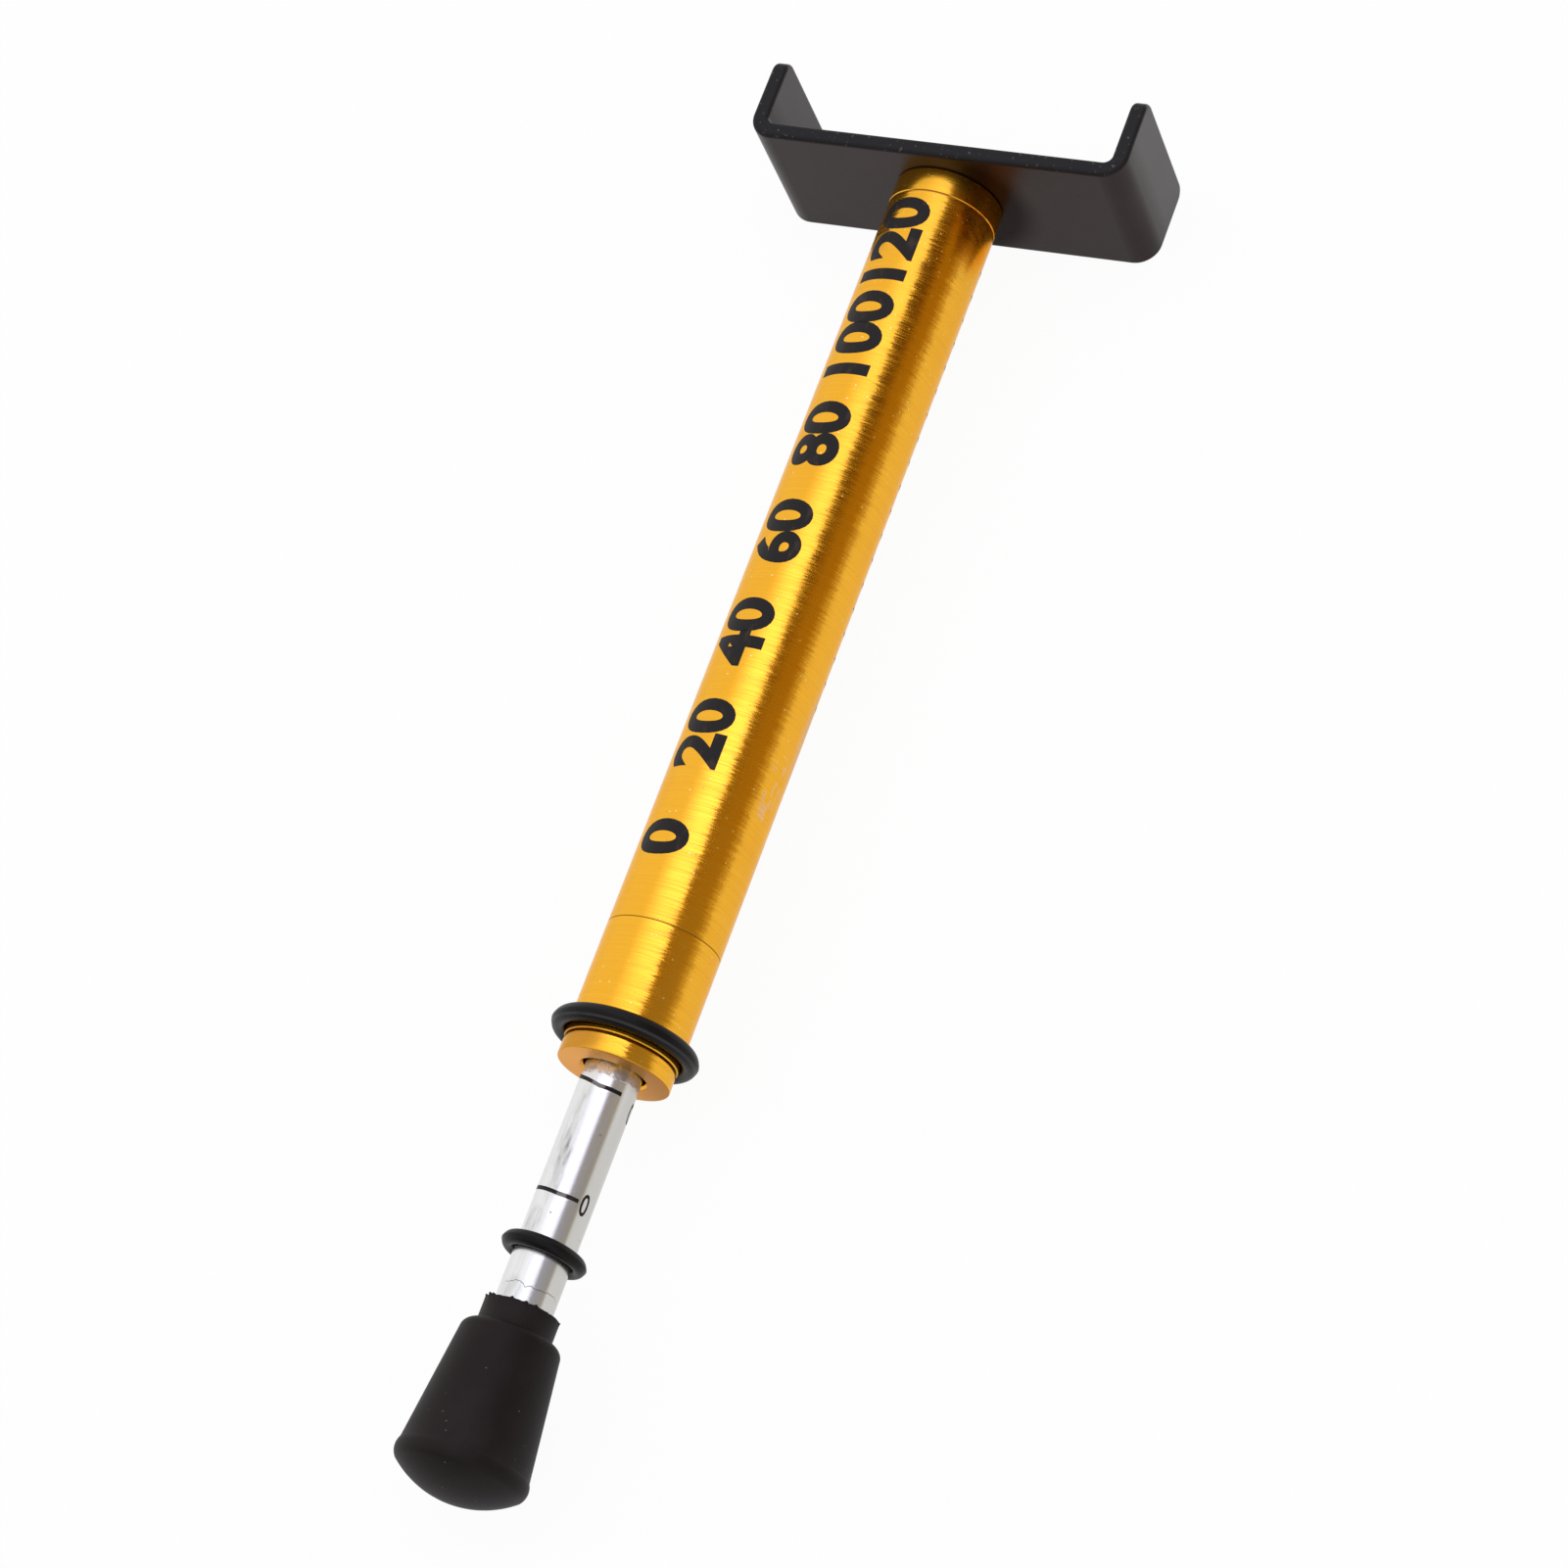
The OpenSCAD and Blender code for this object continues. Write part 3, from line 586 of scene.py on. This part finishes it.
# Rubber tip: dome arc, rim arc, cone, shoulder arc and neck, with torn flash round the neck's end
# neckRows stand from the neck's end and radius, and boreRows from its end and the bore; flashAlong and
# flashOut say how far the rows from flashRow on follow the flash, and flashBits are its larger scraps (angle,
# size, width)
tipShape = {
    "dome": 16.4, "domeSteps": 28, "rim": 2.6, "rimEnd": 30.3, "rimSteps": 16, "stand": 0.06, "coneSteps": 12,
    "shoulder": 8.6, "shoulderRound": 1.8, "shoulderSteps": 10,
    "neck": 6.4, "neckLength": 4.1, "neckFoot": 0.12,
    "neckRows": ((-0.9, 0), (-0.35, 0), (-0.05, 0.02), (0, -0.12), (-0.02, -0.5)),
    "boreRows": ((-0.06, 0.2), (-0.25, 0)), "bore": 5.03, "boreDepth": 20.0, "segments": 288, "flash": 0.16,
    "flashSeed": 7, "flashSpread": 3, "flashRow": 3,
    "flashAlong": (0.3, 1.0, 1.1, 0.8, 0.5), "flashOut": (0.2, 0.7, 0.6),
    "flashBits": (
        (38, 0.30, 5), (52, 0.34, 5), (61, 0.26, 4), (96, 0.20, 5), (118, 0.22, 6), (133, 0.24, 5),
        (196, 0.36, 6)),
    "ringRoom": 0.32, "ringLean": 0.33, "ringLeanAngle": 27,
}
tipStart, tipEnd, tipRadius = spanOf("rubber_tip")
domeMiddle = np.array([tipStart + tipShape["dome"], 0.0])
rimMid = tipRadius - tipShape["rim"]
gap = tipShape["dome"] - tipShape["rim"] + tipShape["stand"]
rimMiddle = np.array([domeMiddle[0] - np.sqrt(gap ** 2 - rimMid ** 2), rimMid])
toRim = (rimMiddle - domeMiddle) / gap
reach = (tipShape["dome"] ** 2 - tipShape["rim"] ** 2 + gap ** 2) / (2 * gap)
rise = np.sqrt(tipShape["dome"] ** 2 - reach ** 2)
meet = domeMiddle + reach * toRim + rise * np.array([toRim[1], -toRim[0]])  # where dome and rim circles cross
domeAngles = np.linspace(0, np.arcsin(meet[1] / tipShape["dome"]), tipShape["domeSteps"])
domeArc = domeMiddle + tipShape["dome"] * np.stack([-np.cos(domeAngles), np.sin(domeAngles)], axis=1)
rimFrom = np.arctan2(meet[0] - rimMiddle[0], meet[1] - rimMiddle[1])
rimAngles = np.linspace(rimFrom, np.radians(tipShape["rimEnd"]), tipShape["rimSteps"])[1:]
rimArc = rimMiddle + tipShape["rim"] * np.stack([np.sin(rimAngles), np.cos(rimAngles)], axis=1)
neckStart = tipEnd - tipShape["neckLength"]
neckRadius = tipShape["neck"]
shoulderRound = tipShape["shoulderRound"]
shoulderAngles = np.radians(np.linspace(0, 90, tipShape["shoulderSteps"]))
shoulderMiddle = np.array([neckStart - shoulderRound, tipShape["shoulder"] - shoulderRound])
shoulderWay = np.stack([np.sin(shoulderAngles), np.cos(shoulderAngles)], axis=1)
shoulderArc = shoulderMiddle + shoulderRound * shoulderWay
coneRun = np.linspace(rimArc[-1], shoulderArc[0], tipShape["coneSteps"])[1:-1]
neckPath = np.array([
    (neckStart, neckRadius + tipShape["neckFoot"]), (neckStart + tipShape["neckFoot"], neckRadius),
    *[(tipEnd + along, neckRadius + out) for along, out in tipShape["neckRows"]],
    *[(tipEnd + along, tipShape["bore"] + out) for along, out in tipShape["boreRows"]],
])
boreStart = tipEnd - tipShape["boreDepth"]
borePath = np.array([(boreStart, tipShape["bore"]), (boreStart, 0.0)])
tipPath = np.concatenate([domeArc, rimArc, coneRun, shoulderArc, neckPath, borePath])
tipGrid = turnedGrid(tipPath, tipShape["segments"])
flashRow = len(domeArc) + len(rimArc) + len(coneRun) + len(shoulderArc) + tipShape["flashRow"]
angles = np.arange(tipShape["segments"]) * 360.0 / tipShape["segments"]
draw = np.random.default_rng(tipShape["flashSeed"])
# the draw is laid three times in a row, so that its smoothed middle third closes round the neck
tear = np.tile(draw.random(tipShape["segments"]), 3)
tear = np.convolve(tear, np.ones(tipShape["flashSpread"]) / tipShape["flashSpread"], "same")
tear = tear[tipShape["segments"]:2 * tipShape["segments"]]
tear = tear * tipShape["flash"] - tipShape["flash"] / 2
for angle, size, width in tipShape["flashBits"]:
    tear = tear + size * np.exp(-((angles - angle) / width * 2) ** 2)
# the flash stops short of the tilted force ring at its lower limit
ringTurn = np.radians(angles - tipShape["ringLeanAngle"])
ringRoom = tipShape["ringRoom"] + tipShape["ringLean"] * np.cos(ringTurn)
flashAlong = np.array(tipShape["flashAlong"])[:, None]
flashOut = np.array(tipShape["flashOut"])[:, None]
tipGrid[flashRow:flashRow + len(flashAlong), :, 0] += flashAlong * np.minimum(tear, ringRoom)
swell = 1 + flashOut * tear / neckRadius
tipGrid[flashRow:flashRow + len(flashOut), :, 1:] *= swell[:, :, None]
makePiece("rubberTip", [(tipGrid, False, True)], rubber, "plunger", ["rubber_tip"], 50)
print("rod and tip turned")


# Marker rings: a round section with a pointed parting ridge, drawn out along the bar by stretch, set lower
# along it, and carried round the bar, a little tilted
ringSteps = {"clear": 0.05, "ridgeHalf": 22, "segments": 256, "sides": 64, "sharp": 30}


def ringGrid(node, barRadius, shape):
    start, end = spanOf(node)[:2]
    middle = (start + end) / 2 - shape["lower"]
    section = shape["section"]
    about = np.linspace(0, 2 * np.pi, ringSteps["sides"], endpoint=False)[:, None]
    turn = np.linspace(0, 2 * np.pi, ringSteps["segments"], endpoint=False)[None]
    away = np.abs((about + np.pi) % (2 * np.pi) - np.pi)
    reachOut = section + shape["ridge"] * np.clip(1 - away / np.radians(ringSteps["ridgeHalf"]), 0, 1)
    radius = barRadius + ringSteps["clear"] + section + reachOut * np.cos(about) + 0 * turn
    x = middle + shape["stretch"] * reachOut * np.sin(about)
    x = x + radius * np.tan(np.radians(shape["tilt"])) * np.cos(turn - np.radians(shape["tiltAngle"]))
    return np.stack([x, radius * np.cos(turn), radius * np.sin(turn)], axis=2)


forceShape = {"section": 1.15, "stretch": 1.08, "ridge": 0.12, "tilt": 3.0, "tiltAngle": 27, "lower": 0.1}
forceGrid = ringGrid("force_ring", rodRadius, forceShape)
makePiece("forceRing", [(forceGrid, True, True)], blackRubber, "force_marker",
          ["force_ring"], ringSteps["sharp"])
largeShape = {"section": 1.4, "stretch": 1.13, "ridge": 0.10, "tilt": 0.0, "tiltAngle": 27, "lower": 0.2}
largeGrid = ringGrid("deflection_ring", tubeRadius, largeShape)
makePiece("deflectionRing", [(largeGrid, True, True)], blackRubber, "deflection_marker",
          ["deflection_ring"], ringSteps["sharp"])


# Spring: a round wire section carried along a helix, with one closed turn at each end
springShape = {"wire": 1.6, "coil": 13.2, "turns": 19, "closedPitch": 1.63, "stepsPerTurn": 40, "sides": 14,
               "travel": 24.0}
springStart, springEnd = spanOf("compression_spring")[:2]
springLength = springEnd - springStart
turns = np.linspace(0, springShape["turns"], springShape["turns"] * springShape["stepsPerTurn"] + 1)[:, None]
wireHeight = springLength - springShape["wire"]
openPitch = (wireHeight - 2 * springShape["closedPitch"]) / (springShape["turns"] - 2)
climb = springShape["closedPitch"] * (np.minimum(turns, 1) + np.maximum(turns - springShape["turns"] + 1, 0))
climb = climb + openPitch * np.clip(turns - 1, 0, springShape["turns"] - 2)
section = np.linspace(0, 2 * np.pi, springShape["sides"], endpoint=False)[None]
wireReach = springShape["coil"] / 2 + springShape["wire"] / 2 * np.cos(section)
springX = springStart + springShape["wire"] / 2 + climb + springShape["wire"] / 2 * np.sin(section)
springGrid = np.stack([
    springX, wireReach * np.cos(2 * np.pi * turns), wireReach * np.sin(2 * np.pi * turns)], axis=2)
springEnds = springGrid[[0, -1]].mean(axis=1, keepdims=True).repeat(springShape["sides"], axis=1)
springGrid = np.concatenate([springEnds[:1], springGrid, springEnds[1:]])
spring = makePiece("springCoil", [(springGrid, False, True)], steel, "housing",
                   ["compression_spring"], 50)
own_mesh(spring)
print("rings and spring made")


# Ink mark on a bar: a flat section carried round the bar between two angles, closed at both ends
# below the angle slantFrom it slants: each degree moves it along the bar by slant mm
def markGrid(barRadius, x, width, fromDeg, toDeg, lift, slant=0.0, slantFrom=100, steps=48):
    degrees = np.linspace(fromDeg, toDeg, steps)[:, None]
    turn = np.radians(degrees)
    acrossX = np.array([-0.5, 0.5, 0.5, -0.5])[None] * width + x + slant * np.maximum(slantFrom - degrees, 0)
    radius = barRadius + np.array([-lift, -lift, lift, lift])[None] + 0 * turn
    grid = np.stack([acrossX, radius * np.cos(turn), radius * np.sin(turn)], axis=2)
    ends = grid[[0, -1]].mean(axis=1, keepdims=True).repeat(4, axis=1)
    return np.concatenate([ends[:1], grid, ends[1:]])


# Number on a bar: flat text made a mesh, cut into strips of stripTurn radians and rolled onto the bar
# along is its reading direction: "x" reads along +X, "round" reads round the bar with its top to -X
def numberMesh(words, height, weight, barRadius, x, angle, along, lift, narrow=1.0, stripTurn=0.02):
    letters = bpy.data.curves.new("letters", "FONT")
    letters.body = words
    letters.size = 1.0
    letters.offset = weight
    letters.extrude = 0.5
    letters.resolution_u = 6
    letters.align_x = "CENTER"
    holder = bpy.data.objects.new("letters", letters)
    bpy.context.scene.collection.objects.link(holder)
    bpy.context.view_layer.update()
    mesh = bpy.data.meshes.new_from_object(holder.evaluated_get(bpy.context.evaluated_depsgraph_get()))
    bpy.data.objects.remove(holder)
    bpy.data.curves.remove(letters)
    work = bmesh.new()
    work.from_mesh(mesh)
    bmesh.ops.remove_doubles(work, verts=work.verts, dist=1e-5)
    flat = np.array([corner.co for corner in work.verts])
    rolled = 1 if along == "x" else 0
    scale = height / (flat[:, 1].max() - flat[:, 1].min())
    stripWidth = stripTurn * barRadius / scale
    cut = np.zeros(3)
    cut[rolled] = 1.0
    for level in np.arange(flat[:, rolled].min() + stripWidth / 2, flat[:, rolled].max(), stripWidth):
        everything = list(work.verts) + list(work.edges) + list(work.faces)
        bmesh.ops.bisect_plane(work, geom=everything, plane_co=cut * level, plane_no=cut)
    bmesh.ops.triangulate(work, faces=work.faces)
    work.to_mesh(mesh)
    work.free()
    flat = np.empty(len(mesh.vertices) * 3)
    mesh.vertices.foreach_get("co", flat)
    flat = flat.reshape(-1, 3)
    flat[:, 1] -= flat[:, 1].min()
    flat[:, :2] *= scale
    flat[:, 0] *= narrow
    radius = barRadius + np.sign(flat[:, 2]) * lift
    if along == "x":
        turn = np.radians(angle) - flat[:, 1] / barRadius
        reachX = x + flat[:, 0]
    else:
        turn = np.radians(angle) - flat[:, 0] / barRadius
        reachX = x - flat[:, 1]
    placed = np.stack([reachX, radius * np.cos(turn), radius * np.sin(turn)], axis=1) * 0.001
    placed[:, 2] += axisHeight
    mesh.vertices.foreach_set("co", placed.ravel())
    mesh.update()
    return mesh


def joinMeshes(name, meshes, sharpDeg=40):
    work = bmesh.new()
    for mesh in meshes:
        work.from_mesh(mesh)
    bmesh.ops.recalc_face_normals(work, faces=work.faces)
    joined = bpy.data.meshes.new(name)
    work.to_mesh(joined)
    work.free()
    for mesh in meshes:
        bpy.data.meshes.remove(mesh)
    joined.shade_smooth()
    joined.set_sharp_from_angle(angle=np.radians(sharpDeg))
    return joined


# Large plain numbers along the tube, 20 mm apart
scaleShape = {"first": -19.0, "step": 20.0, "numbers": ("0", "20", "40", "60", "80", "100", "120"),
              "height": 10.2, "weight": 0.04, "baseline": 103.5, "lift": 0.02}
numberMeshes = [
    numberMesh(words, scaleShape["height"], scaleShape["weight"], tubeRadius,
               scaleShape["first"] + i * scaleShape["step"], scaleShape["baseline"], "x", scaleShape["lift"])
    for i, words in enumerate(scaleShape["numbers"])
]
addPiece("scaleNumbers", joinMeshes("scaleNumbers", numberMeshes), ink, "housing")

# Fine scale on the far side: a mark every 5 mm, a longer one and a number every 10 mm
fineShape = {"first": 105.05, "pitch": 5.0, "count": 19, "width": 0.45, "from": 198, "short": 216,
             "long": 228, "numberHeight": 3.2, "numberWeight": 0.01, "numberAngle": 252, "lift": 0.02}
fineGrids = [
    (markGrid(tubeRadius, fineShape["first"] - i * fineShape["pitch"], fineShape["width"], fineShape["from"],
              fineShape["short"] if i % 2 else fineShape["long"], fineShape["lift"]), False, True)
    for i in range(fineShape["count"])
]
makePiece("fineMarks", fineGrids, ink, "housing")
fineNumbers = [
    numberMesh(str(10 * i), fineShape["numberHeight"], fineShape["numberWeight"], tubeRadius,
               fineShape["first"] - 2 * i * fineShape["pitch"] + fineShape["numberHeight"] / 2,
               fineShape["numberAngle"], "round", fineShape["lift"])
    for i in range((fineShape["count"] + 1) // 2)
]
addPiece("fineNumbers", joinMeshes("fineNumbers", fineNumbers), ink, "housing")

# Two marks on the rod, each with its number beside it
rodMarks = {"width": 0.70, "from": -10, "height": 3.8, "weight": 0.01, "narrow": 0.70, "lift": 0.015}
rodMarkPlaces = (
    {"x": -62.6, "slant": 0.025, "end": 146, "number": "20", "aside": 0.3, "angle": 206},
    {"x": -82.13, "slant": 0.0138, "end": 142, "number": "0", "aside": 1.85, "angle": 158},
)
rodGrids = [
    (markGrid(rodRadius, mark["x"], rodMarks["width"], rodMarks["from"], mark["end"], rodMarks["lift"],
              mark["slant"]), False, True)
    for mark in rodMarkPlaces
]
makePiece("rodMarks", rodGrids, rodInk, "plunger")
rodNumbers = [
    numberMesh(mark["number"], rodMarks["height"], rodMarks["weight"], rodRadius, mark["x"] + mark["aside"],
               mark["angle"], "round", rodMarks["lift"], rodMarks["narrow"])
    for mark in rodMarkPlaces
]
addPiece("rodNumbers", joinMeshes("rodNumbers", rodNumbers), rodInk, "plunger")
print("marks and numbers printed")


# Solids whose shape is right keep it and get their finish
nodeFinishes = {
    "belt_cradle": coat, "cradle_screw": screwSteel, "upper_plug": gold, "spring_seat": steel,
    "guide_bush": nylon, "thrust_washer": steel, "follower": nylon, "follower_screw": screwSteel,
    "retaining_clip": steel, "buffer_washer": rubber,
}
for node, finish in nodeFinishes.items():
    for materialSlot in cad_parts[node].material_slots:
        materialSlot.material = finish
print("solids dressed:", len(nodeFinishes))


# Stage: pale floor, white surround, two soft lamps, and cards that only the reflections see
stageShape = {"floorHalf": 4.0, "floorLevel": -0.0001, "floorTone": (0.80, 0.80, 0.80, 1), "floorGlow": 0.95,
              "mirrorGlow": 0.70, "surround": 0.80, "white": (1, 1, 1, 1),
              "distantTone": (0.30, 0.16, 0.0, 1), "distantY": (-0.06, -0.28), "distantX": (-0.060, -0.050),
              "distantSlope": 0.315}


def whiteRays(flow):  # rays that see the white background
    rays = flow.node("LightPath", out="Is Camera Ray")
    seen = rays + rays.other("Is Glossy Ray") + rays.other("Is Transmission Ray")
    return seen.calc("MINIMUM", seen, 1.0)


def closeGlow(flow, level):
    glow = flow.node("Emission", {}, {"Color": level, "Strength": 1.0})
    flow.node("OutputMaterial", {}, {"Surface": glow})


def sheetOnStage(name, points, faces, finish):
    mesh = bpy.data.meshes.new(name)
    mesh.from_pydata(points, [], faces)
    mesh.materials.append(finish)
    sheet = bpy.data.objects.new(name, mesh)
    bpy.context.scene.collection.objects.link(sheet)
    return sheet


def glossyOnly(sheet):
    sheet.visible_camera = False
    sheet.visible_diffuse = False
    sheet.visible_shadow = False


floorFinish, flow, place = newFinish("paleFloor")
matt = flow.node("BsdfDiffuse", {}, {"Color": stageShape["floorTone"]})
direct = flow.node("LightPath", out="Is Camera Ray")
parts = splitPlace(place)
floorY = parts.other(1)
distant = ease(floorY, *stageShape["distantY"])
distant = distant * ease(parts + floorY * stageShape["distantSlope"], *stageShape["distantX"])
distant = distant * (1.0 - direct)  # reflections in the tube see the floor darken towards the dark card
glowTone = blendTone(distant, stageShape["white"], stageShape["distantTone"])
glow = flow.node("Emission", {}, {"Color": glowTone})
floorShare = whiteRays(flow) * stageShape["mirrorGlow"]
floorShare = floorShare + direct * (stageShape["floorGlow"] - stageShape["mirrorGlow"])
flow.node("OutputMaterial", {}, {"Surface": flow.node("MixShader", {}, {0: floorShare, 1: matt, 2: glow})})
half = stageShape["floorHalf"]
floorCorners = [(-half, -half), (half, -half), (half, half), (-half, half)]
floorPoints = [(x, y, stageShape["floorLevel"]) for x, y in floorCorners]
sheetOnStage("floor", floorPoints, [(0, 1, 2, 3)], floorFinish)

# White card overhead: brightest along the side where the dark card starts, and weaker towards +X
# border is where it meets the dark card, from +X to -X
brightCard = {
    "near": (1.12, 1.12, 1.12, 1), "peak": (2.45, 2.45, 3.3, 1), "far": (1.25, 1.25, 1.7, 1),
    "peakX": (0.33, 0.38), "farX": (0.42, 0.88), "plainY": (0.80, -0.20),
    "height": 1.214, "start": -0.6, "end": 1.6, "back": 0.9, "nearY": -0.70,
    "border": ((1.6, -0.46), (0.69, -0.495), (0.47, -0.809), (0.37, -0.809), (0.34, -0.70)),
}
brightFinish, flow, place = newFinish("whiteCard")
parts = splitPlace(place)
level = blendTone(ease(parts, *brightCard["peakX"]), brightCard["near"], brightCard["peak"])
level = blendTone(ease(parts, *brightCard["farX"]), level, brightCard["far"])
level = blendTone(ease(parts.other(1), *brightCard["plainY"]), stageShape["white"], level)
closeGlow(flow, level)
brightPoints = [
    (brightCard["start"], brightCard["back"]), (brightCard["end"], brightCard["back"]), *brightCard["border"],
    (brightCard["start"], brightCard["nearY"]),
]
brightPoints = [(x, y, brightCard["height"]) for x, y in brightPoints]
glossyOnly(sheetOnStage("whiteCard", brightPoints, [(0, 1, 2, 3), (0, 3, 4, 5, 6, 7)], brightFinish))

# Dark card beside the gauge, from the white card down to the floor: grey and warm below before the rod, brown
# before the tube, and darkest above its far end
darkCard = {
    "near": (0.33, 0.345, 0.395, 1), "low": (0.40, 0.365, 0.30, 1), "middle": (0.385, 0.245, 0.045, 1),
    "far": (0.12, 0.058, 0.012, 1), "foot": (0.60, 0.44, 0.16, 1),
    "lowZ": (0.45, 0.08), "footZ": (0.17, 0.0), "middleX": (0.20, 0.23), "middleSlope": 0.11,
    "farX": (0.33, 0.76), "farZ": (0.40, 0.75), "start": -0.7, "y": -0.809, "bottom": 0.03,
}
darkFinish, flow, place = newFinish("darkCard")
parts = splitPlace(place)
cardZ = parts.other(2)
level = blendTone(ease(cardZ, *darkCard["lowZ"]), darkCard["near"], darkCard["low"])
before = blendTone(ease(cardZ, *darkCard["footZ"]), darkCard["middle"], darkCard["foot"])
level = blendTone(ease(parts - cardZ * darkCard["middleSlope"], *darkCard["middleX"]), level, before)
level = blendTone(ease(parts, *darkCard["farX"]) * ease(cardZ, *darkCard["farZ"]), level, darkCard["far"])
closeGlow(flow, level)
top = brightCard["height"]
farEnd, bend, sideEnd, sideStart, nearEnd = [(x, y, top) for x, y in brightCard["border"]]
darkPoints = [
    (darkCard["start"], darkCard["y"], darkCard["bottom"]),
    (brightCard["end"], darkCard["y"], darkCard["bottom"]),
    (brightCard["end"], darkCard["y"], top), sideEnd, sideStart, (darkCard["start"], darkCard["y"], top),
    bend, farEnd, nearEnd, (darkCard["start"], brightCard["nearY"], top),
]
darkFaces = [(0, 1, 2, 3, 4, 5), (3, 2, 7, 6), (5, 4, 8, 9)]
glossyOnly(sheetOnStage("darkCard", darkPoints, darkFaces, darkFinish))

# Dark card before the tip, which darkens the rolled edges that face it
tipCard = {"tone": (0.10, 0.10, 0.10, 1), "x": -1.3, "y": (-0.35, 1.6), "z": (0.10, 1.1)}
tipFinish, flow, place = newFinish("tipCard")
closeGlow(flow, tipCard["tone"])
tipCorners = [(0, 0), (1, 0), (1, 1), (0, 1)]
tipPoints = [(tipCard["x"], tipCard["y"][i], tipCard["z"][j]) for i, j in tipCorners]
glossyOnly(sheetOnStage("tipCard", tipPoints, [(0, 1, 2, 3)], tipFinish))

world = bpy.data.worlds.new("surround")
bpy.context.scene.world = world
world.use_nodes = True
world.node_tree.nodes.clear()
flow = Flow(world.node_tree)
soft = flow.node("Background", {}, {"Color": stageShape["white"], "Strength": stageShape["surround"]})
white = flow.node("Background", {}, {"Color": stageShape["white"], "Strength": 1.0})
flow.node("OutputWorld", {}, {"Surface": flow.node("MixShader", {}, {0: whiteRays(flow), 1: soft, 2: white})})


# Soft lamp at a place round the gauge (angle about X from +Y up), long side along X; level is its brightness
def softLamp(name, x, angle, distance, long, wide, level):
    lamp = bpy.data.lights.new(name, "AREA")
    lamp.shape = "RECTANGLE"
    lamp.size = long
    lamp.size_y = wide
    lamp.energy = level * np.pi * long * wide
    turn = np.radians(angle)
    back = np.array([0, np.cos(turn), np.sin(turn)])
    holder = bpy.data.objects.new(name, lamp)
    bpy.context.scene.collection.objects.link(holder)
    axes = np.eye(4)
    axes[:3, 0] = (1, 0, 0)
    axes[:3, 1] = np.cross(back, (1, 0, 0))
    axes[:3, 2] = back
    axes[:3, 3] = back * distance + np.array([x, 0, axisHeight])
    holder.matrix_world = Matrix(axes.tolist())
    holder.visible_glossy = False


softLamp("keyLamp", x=0.30, angle=105, distance=1.20, long=1.2, wide=0.8, level=1.0)
softLamp("sideLamp", x=0.20, angle=45, distance=1.30, long=1.2, wide=0.9, level=0.8)
print("stage lit")


# Camera where the photograph was taken from
cameraShape = {
    "place": (-0.28503, -0.31708, 0.64377), "right": (0.3283, -0.8990, -0.2898),
    "up": (0.8668, 0.1649, 0.4706), "lens": 103.06, "sensor": 36.0, "nearest": 0.02,
}
lens = bpy.data.cameras.new("camera")
lens.lens = cameraShape["lens"]
lens.sensor_width = cameraShape["sensor"]
lens.clip_start = cameraShape["nearest"]
camera = bpy.data.objects.new("camera", lens)
bpy.context.scene.collection.objects.link(camera)
axes = np.eye(4)
axes[:3, 0] = cameraShape["right"]
axes[:3, 1] = cameraShape["up"]
axes[:3, 2] = np.cross(cameraShape["right"], cameraShape["up"])
axes[:3, 3] = cameraShape["place"]
camera.matrix_world = Matrix(axes.tolist())
bpy.context.scene.camera = camera
bpy.context.scene.view_settings.view_transform = "Standard"

bpy.context.view_layer.update()
